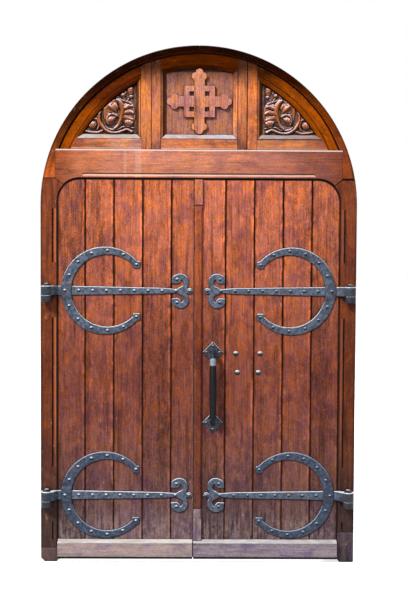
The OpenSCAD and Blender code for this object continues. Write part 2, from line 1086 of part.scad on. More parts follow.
// Crescent, which lies on the boards and is stepped forward where it crosses the strap
module crescent(z) {
    inner = strap_w / 2 + 8;
    outer = inner + 14;
    far = crescent_r + past;
    lift = strap_t + fit;
    translate([0, 0, z])
        intersection() {
            slab(-strap_t - lift, 0)
                crescent2d();
            rail(crescent_x - crescent_r - past, 0)
                polygon([
                    [0, far], [0, outer], [-lift, inner], [-lift, -inner], [0, -outer], [0, -far],
                    [-strap_t, -far], [-strap_t, -outer], [-strap_t - lift, -inner],
                    [-strap_t - lift, inner], [-strap_t, outer], [-strap_t, far]
                ]);
        }
}

module left_upper_strap() {
    color(iron)
        strap(upper_strap_z);
}

module left_lower_strap() {
    color(iron)
        strap(lower_strap_z);
}

module right_upper_strap() {
    color(iron)
        mirror([1, 0, 0])
            strap(upper_strap_z);
}

module right_lower_strap() {
    color(iron)
        mirror([1, 0, 0])
            strap(lower_strap_z);
}

module left_upper_crescent() {
    color(iron)
        crescent(upper_strap_z);
}

module left_lower_crescent() {
    color(iron)
        crescent(lower_strap_z);
}

module right_upper_crescent() {
    color(iron)
        mirror([1, 0, 0])
            crescent(upper_strap_z);
}

module right_lower_crescent() {
    color(iron)
        mirror([1, 0, 0])
            crescent(lower_strap_z);
}

// Domed head seated on a surface at depth y
module nail_head(x, y, z, d, h) {
    ball = (d * d / 4 + h * h) / (2 * h);
    translate([x, y, z])
        rotate([90, 0, 0])
            intersection() {
                cylinder(d = d, h = h);
                translate([0, 0, h - ball])
                    sphere(r = ball);
            }
}

// Nails of one hinge: along the strap, round the crescent and in the scroll
module hinge_nails(z) {
    for (i = [1 : strap_nails + 1])
        nail_head(nail_first_x + i * nail_pitch, -strap_t, z, nail_d, nail_h);
    nail_head(nail_first_x, -2 * strap_t - fit, z, nail_d, nail_h);
    for (s = [-1, 1]) {
        nail_head(bulb_x + 4, -strap_t, z + s * bulb_z, nail_d, nail_h);
        for (i = [1 : tip_nails]) {
            at = crescent_at(half_turn - i * crescent_nail_step);
            nail_head(at[0], -strap_t, z + s * at[1], nail_d, nail_h);
        }
    }
}

module left_nails() {
    color(iron)
        for (z = hinge_zs)
            hinge_nails(z);
}

module right_nails() {
    reach = pull_plate_r * 0.62;
    color(iron) {
        mirror([1, 0, 0])
            for (z = hinge_zs)
                hinge_nails(z);
        for (end = [[pull_low_z, -1], [pull_high_z, 1]]) {
            for (s = [-1, 1])
                nail_head(pull_x + s * reach, -pull_plate_t, end[0], nail_d * 0.8, nail_h);
            nail_head(pull_x, -pull_plate_t, end[0] + end[1] * reach, nail_d * 0.8, nail_h);
        }
    }
}

// Two diamond plates that the pull handle stands on
module pull_plates() {
    color(iron)
        for (z = [pull_low_z, pull_high_z])
            slab(-pull_plate_t, 0)
                translate([pull_x, z])
                    rotate(45)
                        square(pull_plate_r * sqrt(2), center = true);
}

// Bow handle: two bent ends, a collar at the top and a swelling grip
module pull_grip() {
    bend = 30;
    bar_y = -pull_reach;
    foot_y = -pull_plate_t;
    low = pull_low_z + bend;
    high = pull_high_z - bend;
    ring_h = 12;
    collar = 40;
    r0 = bow_d / 2;
    r1 = grip_d / 2;
    color(black_iron)
        translate([pull_x, 0, 0])
            union() {
                for (z = [pull_low_z, pull_high_z])
                    translate([0, foot_y, z])
                        rotate([90, 0, 0])
                            cylinder(d = bow_d, h = pull_reach - bend - pull_plate_t);
                translate([0, bar_y + bend, low])
                    rotate([0, 90, 0])
                        rotate([0, 0, 270])
                            rotate_extrude(angle = 90)
                                translate([bend, 0])
                                    circle(d = bow_d);
                translate([0, bar_y + bend, high])
                    rotate([0, 90, 0])
                        rotate([0, 0, 180])
                            rotate_extrude(angle = 90)
                                translate([bend, 0])
                                    circle(d = bow_d);
                translate([0, bar_y, 0])
                    rotate_extrude()
                        polygon([
                            [0, low], [r0, low], [r0 + 7, low + 4], [r0 + 7, low + ring_h],
                            [r1 - 2, low + ring_h + 6], [r1, high - 150], [r1, high - collar - 4],
                            [r1 - 2, high - collar], [r1 - 1, high - collar + 6],
                            [r1 - 3, high - collar / 2], [r1 - 1, high - 6], [r0, high], [0, high]
                        ]);
            }
}

// Places of the four coach bolts round the draw bolt
coach_wide = 65;
coach_narrow = 56;
coach_rise = 51;
coach_low = draw_z - coach_rise;
coach_high = draw_z + coach_rise;
coach_mid_x = pull_x + pull_plate_r + coach_gap + coach_head_d / 2 + coach_wide;
coach_places = [
    [coach_mid_x - coach_wide, coach_high], [coach_mid_x + coach_wide, coach_high],
    [coach_mid_x - coach_narrow, coach_low], [coach_mid_x + coach_narrow, coach_low]
];
plate_t = 4;
plate_y = ledge_y + plate_t;

module coach_holes() {
    for (p = coach_places)
        translate([p[0], -past, p[1]])
            rotate([-90, 0, 0])
                cylinder(d = coach_d + 2 * fit, h = ledge_y + 2 * past);
}

// Domed bolts through board and ledge, with their nuts on the draw bolt's plate
module coach_bolts() {
    nut_w = 18;
    nut_h = 8;
    color(black_iron)
        for (p = coach_places) {
            nail_head(p[0], 0, p[1], coach_head_d, 8);
            translate([p[0], -past, p[1]])
                rotate([-90, 0, 0])
                    cylinder(d = coach_d, h = plate_y + nut_h + 4 + past);
            translate([p[0], plate_y, p[1]])
                rotate([-90, 0, 0])
                    cylinder(d = nut_w, h = nut_h, $fn = 6);
        }
}

bar_gap = 0.5;
staple_t = 5;

// Staple that guides a bar of height w and thickness t, open at the back of the plate
module bar_staple(x, y, z, w, t) {
    gap = bar_gap;
    len = 22;
    wall = staple_t;
    translate([x - len / 2, y, z])
        difference() {
            translate([0, 0, -w / 2 - gap - wall])
                cube([len, t + 2 * gap + wall, w + 2 * (gap + wall)]);
            translate([-past, -past, -w / 2 - gap])
                cube([len + 2 * past, t + 2 * gap + past, w + 2 * gap]);
        }
}

// Back plate of the draw bolt and its three staples; one of them is by the meeting edge
draw_staples = [20, coach_mid_x - 28, coach_mid_x + 32];
module draw_bolt_plate() {
    reach_x = 82;
    reach_z = 71;
    color(black_iron)
        difference() {
            union() {
                translate([coach_mid_x - reach_x, ledge_y, draw_z - reach_z])
                    cube([2 * reach_x, plate_t, 2 * reach_z]);
                translate([draw_staples[0] - 25, ledge_y, draw_z - 40])
                    cube([50, plate_t, 80]);
                for (x = draw_staples)
                    bar_staple(x, plate_y, draw_z, draw_bar_h, draw_bar_t);
            }
            for (p = coach_places)
                translate([p[0], ledge_y - past, p[1]])
                    rotate([-90, 0, 0])
                        cylinder(d = coach_d + 2 * fit, h = plate_t + 2 * past);
        }
}

// Sliding bar with its knob, drawn back
draw_bar_x0 = -right_edge + 18;
module draw_bolt() {
    knob_x = draw_staples[2] + 11 + draw_travel + 14;
    bar_y = plate_y + bar_gap;
    color(iron) {
        translate([draw_bar_x0, bar_y, draw_z - draw_bar_h / 2])
            cube([knob_x + 30 - draw_bar_x0, draw_bar_t, draw_bar_h]);
        translate([knob_x, bar_y + draw_bar_t, draw_z])
            rotate([-90, 0, 0])
                rotate_extrude()
                    polygon([[0, -past], [6, -past], [6, 10], [11, 16], [11, 24], [6, 29], [0, 29]]);
    }
}

// Keep on the left leaf that the thrown bar enters
module draw_bolt_keep() {
    x = left_edge - ledge_set - 32;
    color(black_iron) {
        translate([x - 28, ledge_y, draw_z - 40])
            cube([56, plate_t, 80]);
        bar_staple(x, plate_y, draw_z, draw_bar_h + 4, draw_bar_t + 1);
    }
}

// The top and foot bolts stand a little in from the left leaf's meeting edge
rod_x_set = 70;
rod_room = 1;
top_rod_y = plate_y + rod_room + rod_d / 2;
foot_rod_y = board_t + plate_t + rod_room + rod_d / 2;
rod_plate_h = 130;
top_plate_z = top_ledge_z - ledge_h / 2 + 10;
foot_plate_z = leaf_bottom + 45;

// Plate with two staples for an upright rod, on a face at depth y
module rod_plate(y, z) {
    w = 48;
    staple_h = 16;
    staple_w = rod_d + 2 * rod_room + 10;
    out = rod_d + 2 * rod_room + 5;
    translate([left_edge - rod_x_set, y, z])
        difference() {
            union() {
                translate([-w / 2, 0, 0])
                    cube([w, plate_t, rod_plate_h]);
                for (dz = [6, rod_plate_h - staple_h - 6])
                    translate([-staple_w / 2, 0, dz])
                        cube([staple_w, plate_t + out, staple_h]);
            }
            translate([0, plate_t + rod_room + rod_d / 2, -past])
                cylinder(d = rod_d + 0.8, h = rod_plate_h + 2 * past);
        }
}

module rod_bolt_plates() {
    color(black_iron) {
        rod_plate(ledge_y, top_plate_z);
        rod_plate(board_t, foot_plate_z);
    }
}

// Upright rod from z0 to z1 with a knob at knob_z
module rod_bolt(y, z0, z1, knob_z) {
    translate([left_edge - rod_x_set, y, 0])
        union() {
            translate([0, 0, z0])
                cylinder(d = rod_d, h = z1 - z0);
            translate([0, rod_d / 2 - past, knob_z])
                rotate([-90, 0, 0])
                    rotate_extrude()
                        polygon([[0, 0], [4, 0], [4, 10], [9, 15], [9, 22], [4, 26], [0, 26]]);
        }
}

// The top bolt is drawn down and the foot bolt is drawn up
module top_bolt() {
    color(iron)
        rod_bolt(top_rod_y, top_plate_z - rod_travel - 5, head_z - stop_w - 8, top_plate_z + 38);
}

module foot_bolt() {
    color(iron)
        rod_bolt(foot_rod_y, leaf_bottom + 8, foot_plate_z + rod_plate_h + rod_travel + 5,
                 foot_plate_z + rod_plate_h - 38);
}

left_jamb();
right_jamb();
left_foot_block();
right_foot_block();
arch_left();
arch_right();
transom();
centre_stiles();
centre_top_rail();
centre_bottom_rail();
centre_panel();
cross();
left_curved_stile();
right_curved_stile();
left_upright();
right_upright();
left_bottom_rail();
right_bottom_rail();
left_carved_panel();
right_carved_panel();
upper_left_pintle();
lower_left_pintle();
upper_right_pintle();
lower_right_pintle();
left_board_1();
left_board_2();
left_board_3();
left_board_4();
left_board_5();
left_ledges();
left_braces();
left_weatherboard();
left_upper_strap();
left_lower_strap();
left_upper_crescent();
left_lower_crescent();
left_nails();
draw_bolt_keep();
rod_bolt_plates();
top_bolt();
foot_bolt();
right_board_1();
right_board_2();
right_board_3();
right_board_4();
right_board_5();
right_ledges();
right_braces();
right_weatherboard();
meeting_strip();
right_upper_strap();
right_lower_strap();
right_upper_crescent();
right_lower_crescent();
right_nails();
pull_grip();
pull_plates();
coach_bolts();
draw_bolt_plate();
draw_bolt();
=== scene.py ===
"""Looks for the arched double door: oak and forged iron, the carved foliage, the camera and the light."""
import math
import random
from types import SimpleNamespace

import bmesh
import bpy
import numpy as np
from mathutils import Matrix, Vector


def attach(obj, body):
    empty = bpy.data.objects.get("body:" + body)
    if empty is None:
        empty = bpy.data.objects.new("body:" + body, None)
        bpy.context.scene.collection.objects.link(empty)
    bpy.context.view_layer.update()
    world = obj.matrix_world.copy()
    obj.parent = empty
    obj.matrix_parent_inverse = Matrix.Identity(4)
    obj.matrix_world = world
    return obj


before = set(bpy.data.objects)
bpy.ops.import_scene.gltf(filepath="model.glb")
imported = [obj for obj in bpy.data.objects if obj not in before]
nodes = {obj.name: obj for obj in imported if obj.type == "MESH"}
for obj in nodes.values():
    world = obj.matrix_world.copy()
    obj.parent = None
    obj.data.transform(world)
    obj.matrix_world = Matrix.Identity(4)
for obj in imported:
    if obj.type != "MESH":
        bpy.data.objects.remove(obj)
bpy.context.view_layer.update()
MM = 0.001

# Sizes that repeat the part's own, in mm
SPRING_Z = 1928            # height of the arch's centre
PANEL_R = 728              # radius of the carved panels' rounded edge
PANEL_U0 = 333.3           # the carved panels' upright edge, from the middle
PANEL_Z0 = 2305            # the carved panels' lower edge
PANEL_Y = 32               # front face of the panels
LEAF_BOTTOM, LEAF_TOP = 22, 2062
SHADE_SHEET_X = (-26.98, -23.03)  # a black sheet of painted shade, across the gap where the leaves meet
SHADE_SHEET_Y = (12, 20)

# Places that the materials follow, in metres
RIM_R = 0.83                            # middle of the arch rim
CORNER_SIDE, CORNER_Z = 0.636, 1.946    # centre of the doorway's rounded corners
CORNER_R = 0.122                        # their radius
ARCH_FOOT = 2.069                       # where the arch stands on the jambs
RAIL_FOOT = 2.2285                      # painted highlight along the foot of the rails, above the transom
SILL_EDGE = 2.2805                      # painted shade under the sloped sills of those rails
TRANSOM_REACH = 0.615                   # how far the transom's mouldings run from the middle
FIRST_JOINT, HALF_BOARD = 0.145, 0.077  # the boards' first joint from the middle, and half a board
MITRE = 0.7988                          # slope of the joint between jamb and transom
MITRE_AT = 1.4553                       # its height where it would meet the middle
STRAP_Z = (1.468, 0.365)                # heights of the hinge straps
GROOVES = ((0.118, 0.219), (0.517, 1.322), (1.62, 1.906))  # stretches of the jambs' edge grooves
FOOT_Z, MIDDLE_Z, HEAD_Z = 0.1, 1.0, 1.95  # where oak has its low, mid and top colours


# Material graphs
def rgb(r, g, b):
    """A colour as it is seen on a screen, 0 to 255, as the shader wants it."""
    def one(c):
        c = c / 255
        return c / 12.92 if c <= 0.04045 else ((c + 0.055) / 1.055) ** 2.4
    return one(r), one(g), one(b), 1.0


class Graph:
    """A small helper that builds the node tree of one material, or of the world."""

    def __init__(self, owner, output="ShaderNodeOutputMaterial"):
        owner.use_nodes = True
        self.owner = owner
        self.tree = owner.node_tree
        self.tree.nodes.clear()
        self.out = self.add(output)

    def add(self, kind, **props):
        node = self.tree.nodes.new(kind)
        for key, value in props.items():
            setattr(node, key, value)
        return node

    def put(self, socket, value):
        if isinstance(value, bpy.types.NodeSocket):
            self.tree.links.new(value, socket)
        else:
            socket.default_value = value

    def math(self, kind, a, b=0.0, c=0.0):
        node = self.add("ShaderNodeMath", operation=kind)
        for socket, value in zip(node.inputs, (a, b, c)):
            self.put(socket, value)
        return node.outputs[0]

    def fade(self, value, low, high, start=0.0, end=1.0, kind="SMOOTHSTEP"):
        """From start, where value is at low, to end, where it is at high."""
        node = self.add("ShaderNodeMapRange", interpolation_type=kind)
        for socket, v in zip(node.inputs, (value, low, high, start, end)):
            self.put(socket, v)
        return node.outputs[0]

    def mix(self, share, a, b, kind="MIX"):
        node = self.add("ShaderNodeMix", data_type="RGBA", blend_type=kind, clamp_factor=True)
        for index, value in ((0, share), (6, a), (7, b)):
            self.put(node.inputs[index], value)
        return node.outputs[2]

    def scale(self, colour, by):
        node = self.add("ShaderNodeVectorMath", operation="SCALE")
        self.put(node.inputs[0], colour)
        self.put(node.inputs["Scale"], by)
        return node.outputs[0]

    def join(self, x, y, z):
        node = self.add("ShaderNodeCombineXYZ")
        for socket, value in zip(node.inputs, (x, y, z)):
            self.put(socket, value)
        return node.outputs[0]

    def split(self, vector):
        node = self.add("ShaderNodeSeparateXYZ")
        self.put(node.inputs[0], vector)
        return node.outputs

    def noise(self, vector, scale, detail, rough, bend=0.0):
        node = self.add("ShaderNodeTexNoise")
        for name, value in (("Vector", vector), ("Scale", scale), ("Detail", detail), ("Roughness", rough),
                            ("Distortion", bend)):
            self.put(node.inputs[name], value)
        return node.outputs[0]

    def place(self):
        return self.add("ShaderNodeTexCoord").outputs["Object"]

    def up(self):
        """How far the surface faces up, -1 to 1."""
        return self.split(self.add("ShaderNodeNewGeometry").outputs["Normal"])[2]

    def edge(self, radius):
        """Near 1 on an outer or inner edge, 0 on a flat face."""
        bevelled = self.add("ShaderNodeBevel", samples=4)
        bevelled.inputs["Radius"].default_value = radius
        dot = self.add("ShaderNodeVectorMath", operation="DOT_PRODUCT")
        self.put(dot.inputs[0], bevelled.outputs[0])
        self.put(dot.inputs[1], self.add("ShaderNodeNewGeometry").outputs["Normal"])
        return self.fade(dot.outputs["Value"], 0.995, 0.86)

    def open(self, reach):
        """1 in the open, near 0 in a joint or corner."""
        node = self.add("ShaderNodeAmbientOcclusion", samples=6)
        node.inputs["Distance"].default_value = reach
        return node.outputs["AO"]

    def seen(self):
        """1 for what the camera sees, also in a reflection, and 0 for what only lights the object."""
        path = self.add("ShaderNodeLightPath")
        bent = self.math("MAXIMUM", path.outputs["Is Glossy Ray"], path.outputs["Is Transmission Ray"])
        return self.math("MAXIMUM", path.outputs["Is Camera Ray"], bent)

    def shade(self, shader):
        self.tree.links.new(shader.outputs[0], self.out.inputs["Surface"])
        return self.owner

    def finish(self, colour, rough, height, bump, depth, shine, metal=0.0, normal=None):
        """The plain shader with its colour, roughness and bump; it returns the material."""
        bsdf = self.add("ShaderNodeBsdfPrincipled")
        self.put(bsdf.inputs["Base Color"], colour)
        self.put(bsdf.inputs["Roughness"], rough)
        bsdf.inputs["Metallic"].default_value = metal
        bsdf.inputs["Specular IOR Level"].default_value = shine
        node = self.add("ShaderNodeBump")
        node.inputs["Strength"].default_value = bump
        node.inputs["Distance"].default_value = depth
        self.put(node.inputs["Height"], height)
        if normal is not None:
            self.put(node.inputs["Normal"], normal)
        self.put(bsdf.inputs["Normal"], node.outputs[0])
        return self.shade(bsdf)


# Noises of the oak: scale across the grain and along it, detail, roughness and distortion.
OAK_NOISES = {
    "fibre": (120, 6, 5, 0.65, 0.0),
    "flame": (40, 16, 4, 0.65, 0.6),
    "band": (15, 0.9, 3, 0.5, 0.4),
    "cloud": (8, 5.5, 5, 0.7, 0.8),
    "patch": (20, 11, 5, 0.75, 0.8),
    "drip": (44, 1.8, 3, 0.6, 0.0),
    "pore": (420, 26, 2, 0.5, 0.0),
    "scuff": (48, 26, 5, 0.75, 0.0),
    "speck": (210, 150, 2, 0.6, 0.0),
}
WORN_EDGE = 0.003    # radius within which an edge of the oak is rubbed pale
SHADED = 0.035       # reach of the soft shade in the corners of the oak
WORN_OAK = rgb(196, 132, 96)
LINE_DARK = rgb(14, 6, 4)


def coordinates(g, x, z):
    """Named coordinates on the door, in metres, for the grain and for the places of tints and lines."""
    side = g.math("ABSOLUTE", x)
    rise = g.math("SUBTRACT", z, SPRING_Z * MM)
    radius = g.math("SQRT", g.math("MULTIPLY_ADD", x, x, g.math("MULTIPLY", rise, rise)))
    arc = g.math("MULTIPLY", g.math("ARCTAN2", x, rise), RIM_R)
    out = g.math("MAXIMUM", g.math("SUBTRACT", side, CORNER_SIDE), 0.0)
    over = g.math("MAXIMUM", g.math("SUBTRACT", z, CORNER_Z), 0.0)
    door = g.math("SQRT", g.math("MULTIPLY_ADD", out, out, g.math("MULTIPLY", over, over)))
    mitre = g.math("MULTIPLY_ADD", side, -MITRE, z)
    return {"x": x, "z": z, "side": side, "r": radius, "arc": arc, "door": door, "mitre": mitre}


def oak_noises(g, seed, across, y, along):
    """The noises of one piece of oak, each stretched along the grain and at a place of its own."""
    pick = random.Random(seed)
    noises = {}
    for name, (wide, long, *look) in OAK_NOISES.items():
        stretch = ((across, wide), (y, wide), (along, long))
        spot = [g.math("MULTIPLY_ADD", value, scale, pick.uniform(0, 60)) for value, scale in stretch]
        noises[name] = g.noise(g.join(*spot), 1.0, *look)
    return SimpleNamespace(**noises)


def board_marks(g, base, noise, at):
    """Worn and dark lines along the joints between boards, painted light on one side of each joint, and dried
    mud at the foot.
    """
    seam = g.math("PINGPONG", g.math("SUBTRACT", at["side"], FIRST_JOINT), HALF_BOARD)
    ragged = g.math("MULTIPLY_ADD", g.math("SUBTRACT", noise.flame, 0.5), 0.03, seam)
    rubbed = g.math("MULTIPLY", g.fade(ragged, 0.02, 0.006), g.fade(noise.cloud, 0.55, 0.42, 0.0, 0.6))
    base = g.mix(rubbed, base, (1.4, 1.2, 0.6, 1), "MULTIPLY")
    from_joint = g.math("MULTIPLY_ADD", g.math("SIGN", at["x"]), -FIRST_JOINT, at["x"])
    left = g.math("WRAP", from_joint, HALF_BOARD, -HALF_BOARD)
    # painted light on the side of each joint that faces the key lamp
    joint_painted_light = g.math("MULTIPLY", g.fade(left, -0.019, -0.012), g.fade(left, -0.004, -0.008))
    joint_painted_light = g.math("MULTIPLY", joint_painted_light, g.fade(noise.flame, 0.35, 0.6, 0.2, 1.0))
    base = g.mix(joint_painted_light, base, (1.5, 1.45, 1.4, 1), "MULTIPLY")
    base = g.mix(g.fade(ragged, 0.011, 0.002, 0.0, 0.7), base, rgb(64, 26, 14))
    dark = g.math("MULTIPLY", g.fade(seam, 0.0055, 0.002), g.fade(at["z"], 0.9, 1.6, 0.45, 0.95))
    base = g.mix(dark, base, rgb(34, 15, 11))
    mottled = g.math("MULTIPLY_ADD", noise.fibre, 0.35, g.math("MULTIPLY", noise.scuff, 0.65))
    mud = g.math("MULTIPLY", g.fade(at["z"], 0.34, 0.13), g.fade(mottled, 0.44, 0.6))
    return g.mix(g.math("MULTIPLY", mud, 0.42), base, rgb(168, 146, 144))


def carved_painted_light(g, base):
    """Carving: painted light where it faces up, a painted highlight on its ridges and painted shade in its
    folds.
    """
    fold = g.add("ShaderNodeNewGeometry").outputs["Pointiness"]
    base = g.scale(base, g.fade(g.up(), -0.45, 0.35, 0.22, 1.5))
    base = g.mix(g.fade(fold, 0.515, 0.56, 0.0, 0.3), base, rgb(206, 180, 170))
    return g.mix(g.fade(fold, 0.495, 0.45, 0.0, 0.95), base, rgb(26, 12, 8))


def draw_lines(g, base, lines, stops, at):
    """Joints and grooves, and painted shade and painted highlights along edges, mouldings and gaps:
    (coordinate, place, half width, share, colour, reach from the middle), in metres.

    The last two may be left out. A coloured line fades out near the floor. Where there are stops, a
    line on x is drawn only within their heights.
    """
    runs = 0.0
    for foot, head in stops:
        inside = g.math("MULTIPLY", g.fade(at["z"], foot - 0.004, foot + 0.004),
                        g.fade(at["z"], head + 0.004, head - 0.004))
        runs = g.math("ADD", runs, inside)
    for line in lines:
        axis, place, half, share, colour, reach = line + (None,) * (6 - len(line))
        away = g.math("ABSOLUTE", g.math("SUBTRACT", at[axis], place))
        drawn = g.fade(away, half * 1.15, half * 0.6, 0.0, share)
        if axis == "x" and stops:
            drawn = g.math("MULTIPLY", drawn, runs)
        if colour:
            drawn = g.math("MULTIPLY", drawn, g.fade(at["z"], 0.4, 0.8))
        if reach:
            drawn = g.math("MULTIPLY", drawn, g.fade(at["side"], reach + 0.008, reach))
        base = g.mix(drawn, base, colour or LINE_DARK)
    return base


def oak(name, grain, seed, low, mid, top, dust_and_light=0.7, dust_and_light_tint=(160, 146, 150), tone=1.0, contrast=1.0,
        grey=0.25, wear=0.2, tints=(), lines=(), shine=0.1, boards=False, spots=1.0, crevice=0.008,
        deep=0.06, warm=0.8, carved=False, stops=()):
    """Old varnished oak. grain is x, z or arc; low, mid and top are its colours from foot to head.

    tone is one number, or one each for the foot, the middle and the head of a leaf. tints are
    (coordinate, from, to, colour, share), in metres, and some of them are painted shade. lines and stops
    are what draw_lines takes.
    """
    g = Graph(bpy.data.materials.new(name))
    x, y, z = g.split(g.place())
    at = coordinates(g, x, z)
    across, along = {"z": ("x", "z"), "x": ("z", "x"), "arc": ("r", "arc")}[grain]
    noise = oak_noises(g, seed, at[across], y, at[along])

    base = g.mix(g.fade(z, FOOT_Z, MIDDLE_Z), low, mid)
    base = g.mix(g.fade(z, MIDDLE_Z, HEAD_Z), base, top)
    for axis, start, end, colour, share in tints:
        base = g.mix(g.fade(at[axis], start, end, 0.0, share), base, colour)
    greyed = g.math("MULTIPLY", g.fade(noise.cloud, 0.47, 0.61), 3.0 * grey)
    base = g.mix(greyed, base, (0.58, 0.56, 0.88, 1), "MULTIPLY")
    warmed = g.math("MULTIPLY", g.fade(noise.patch, 0.46, 0.6), g.fade(z, 0.25, 0.7, 0.25 * warm, warm))
    base = g.mix(warmed, base, (1.36, 1.18, 0.5, 1), "MULTIPLY")
    dripped = g.math("MULTIPLY", g.fade(noise.drip, 0.54, 0.68), 0.45 * contrast)
    base = g.mix(dripped, base, rgb(38, 14, 8))
    scuffed = g.math("MULTIPLY", g.fade(noise.scuff, 0.6, 0.72), 0.4 * spots)
    base = g.mix(scuffed, base, rgb(200, 150, 124))

    if isinstance(tone, tuple):
        foot, middle, head = tone
        tone = g.fade(z, 1.3, 1.75, g.fade(z, 0.2, 0.6, foot, middle), head)
    light = g.math("MULTIPLY_ADD", g.math("SUBTRACT", noise.fibre, 0.5), 1.6 * contrast, tone)
    for grown, share in ((noise.flame, 1.2), (noise.band, 0.7), (noise.speck, 1.5)):
        light = g.math("MULTIPLY_ADD", g.math("SUBTRACT", grown, 0.5), share * contrast, light)
    light = g.math("MULTIPLY", g.math("MAXIMUM", light, 0.3), g.fade(noise.pore, 0.34, 0.44, 0.75, 1.0))
    base = g.scale(base, light)

    if boards:
        base = board_marks(g, base, noise, at)
    base = g.mix(g.math("MULTIPLY", g.edge(WORN_EDGE), wear), base, WORN_OAK)
    # dust, and painted light from above, on faces that look up
    dust_and_top_light = g.math("MULTIPLY", g.fade(g.up(), 0.2, 0.6), g.fade(noise.cloud, 0.3, 0.6, 0.6, 1.0))
    dust_and_top_light_colour = g.scale(rgb(*dust_and_light_tint)[:3], g.fade(noise.flame, 0.3, 0.7, 0.8, 1.15))
    base = g.mix(g.math("MULTIPLY", dust_and_top_light, dust_and_light), base, dust_and_top_light_colour)
    # painted light and shade on the carving
    if carved:
        base = carved_painted_light(g, base)
    base = draw_lines(g, base, lines, stops, at)
    # painted shade: darker in corners, joints, grooves and folds, where shade falls
    shade = g.math("MULTIPLY", g.fade(g.open(SHADED), 0.1, 0.85, 0.25, 1.0),
                   g.fade(g.open(crevice), 0.4, 0.95, deep, 1.0))
    height = g.math("MULTIPLY_ADD", noise.pore, 0.3, g.math("MULTIPLY_ADD", noise.flame, 0.8, noise.fibre))
    rough = g.fade(noise.scuff, 0.35, 0.7, 0.4, 0.62)
    return g.finish(g.scale(base, shade), rough, height, bump=0.5, depth=0.002, shine=shine)


IRON_SHADED = 0.012   # reach of the shade in the corners of the iron
# painted shade on iron that faces down
IRON_UNDER_SHADE = rgb(12, 11, 13)
RUST = rgb(112, 72, 54)


def iron(name, seed, base, highlight, deep, rust=0.2, hammer=0.45, shine=0.25, tints=(), upper=0.9, under=0.92,
         rim=0.006, edges=True, darker=(), calm=()):
    """Forged iron under old paint: mottled and hammered, pale with dust and painted highlight where it faces
    up, and painted shade below.

    upper and under are the shares of painted highlight and painted shade on edges that face up and
    down, within rim metres.
    tints are (from, to, colour, share) by height, darker is (coordinate, from, to, what is left), and
    calm is (height, half width) of bands where the painted highlight and shade on the edges show less.
    edges=False paints them on whole faces.
    """
    g = Graph(bpy.data.materials.new(name))
    pick = random.Random(seed)
    spot = g.place()
    x, _, z = g.split(spot)
    where = {"x": x, "side": g.math("ABSOLUTE", x)}
    here = g.add("ShaderNodeVectorMath", operation="ADD")
    g.put(here.inputs[0], spot)
    here.inputs[1].default_value = [pick.uniform(0, 9) for _ in range(3)]
    here = here.outputs[0]
    mottle = g.noise(here, 60, 4, 0.65)
    patch = g.noise(here, 8, 4, 0.65)
    beaten = g.noise(here, 48, 1.5, 0.4)
    speck = g.noise(here, 230, 3, 0.6)
    colour = g.mix(g.fade(mottle, 0.3, 0.7), deep, base)
    colour = g.scale(colour, g.fade(mottle, 0.25, 0.75, 0.75, 1.3))
    colour = g.mix(g.math("MULTIPLY", g.fade(patch, 0.56, 0.7), rust), colour, RUST)
    for start, end, tint, share in tints:
        colour = g.mix(g.fade(z, start, end, 0.0, share), colour, tint)
    colour = g.scale(colour, g.fade(speck, 0.3, 0.6, 0.8, 1.1))
    for axis, start, end, left in darker:
        colour = g.scale(colour, g.fade(where[axis], start, end, 1.0, left))
    bevelled = g.add("ShaderNodeBevel", samples=8)
    bevelled.inputs["Radius"].default_value = rim
    up = g.split(bevelled.outputs[0])[2]
    # bright is painted highlight on edges that face up, dark is painted shade on those that face down
    bright, dark = g.fade(up, 0.1, 0.42), g.fade(up, -0.1, -0.42)
    if edges:
        face = g.add("ShaderNodeNewGeometry").outputs["Normal"]
        turn = g.add("ShaderNodeVectorMath", operation="DOT_PRODUCT")
        g.put(turn.inputs[0], bevelled.outputs[0])
        g.put(turn.inputs[1], face)
        near = g.fade(turn.outputs["Value"], 0.999, 0.965)
        flat = g.split(face)[2]
        bright = g.math("MAXIMUM", g.math("MULTIPLY", bright, near), g.fade(flat, 0.8, 0.95))
        dark = g.math("MAXIMUM", g.math("MULTIPLY", dark, near), g.fade(flat, -0.8, -0.95))
    for at, half in calm:
        away = g.math("ABSOLUTE", g.math("SUBTRACT", z, at))
        bright = g.math("MULTIPLY", bright, g.fade(away, half * 0.8, half * 1.1, 0.12, 1.0))
        dark = g.math("MULTIPLY", dark, g.fade(away, half * 0.8, half * 1.1, 0.5, 1.0))
    colour = g.mix(g.math("MULTIPLY", bright, upper), colour, highlight)
    colour = g.mix(g.math("MULTIPLY", dark, under), colour, IRON_UNDER_SHADE)
    colour = g.scale(colour, g.fade(g.open(IRON_SHADED), 0.2, 0.85, 0.3, 1.0))
    height = g.math("MULTIPLY_ADD", speck, 0.15, beaten)
    rough = g.fade(mottle, 0.3, 0.7, 0.4, 0.6)
    return g.finish(colour, rough, height, bump=hammer, depth=0.003, shine=shine, metal=0.1,
                    normal=bevelled.outputs[0])


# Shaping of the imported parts
SAME_POINT = 1e-5      # points closer than this are one, in metres
FLAT_ANGLE = 0.6       # faces that differ by less than this are one face, in degrees
SOFT_WIDE, SOFT_OAK, SOFT_BOARD = 3.0, 2.5, 1.5    # how far edges are eased, in mm
SOFT_CRESCENT, SOFT_STRAP, SOFT_PLATE, SOFT_PIN, SOFT_BOLT = 3.0, 2.6, 2.0, 1.5, 0.8
IRON_ANGLE = 40        # only edges sharper than this are eased on iron, in degrees


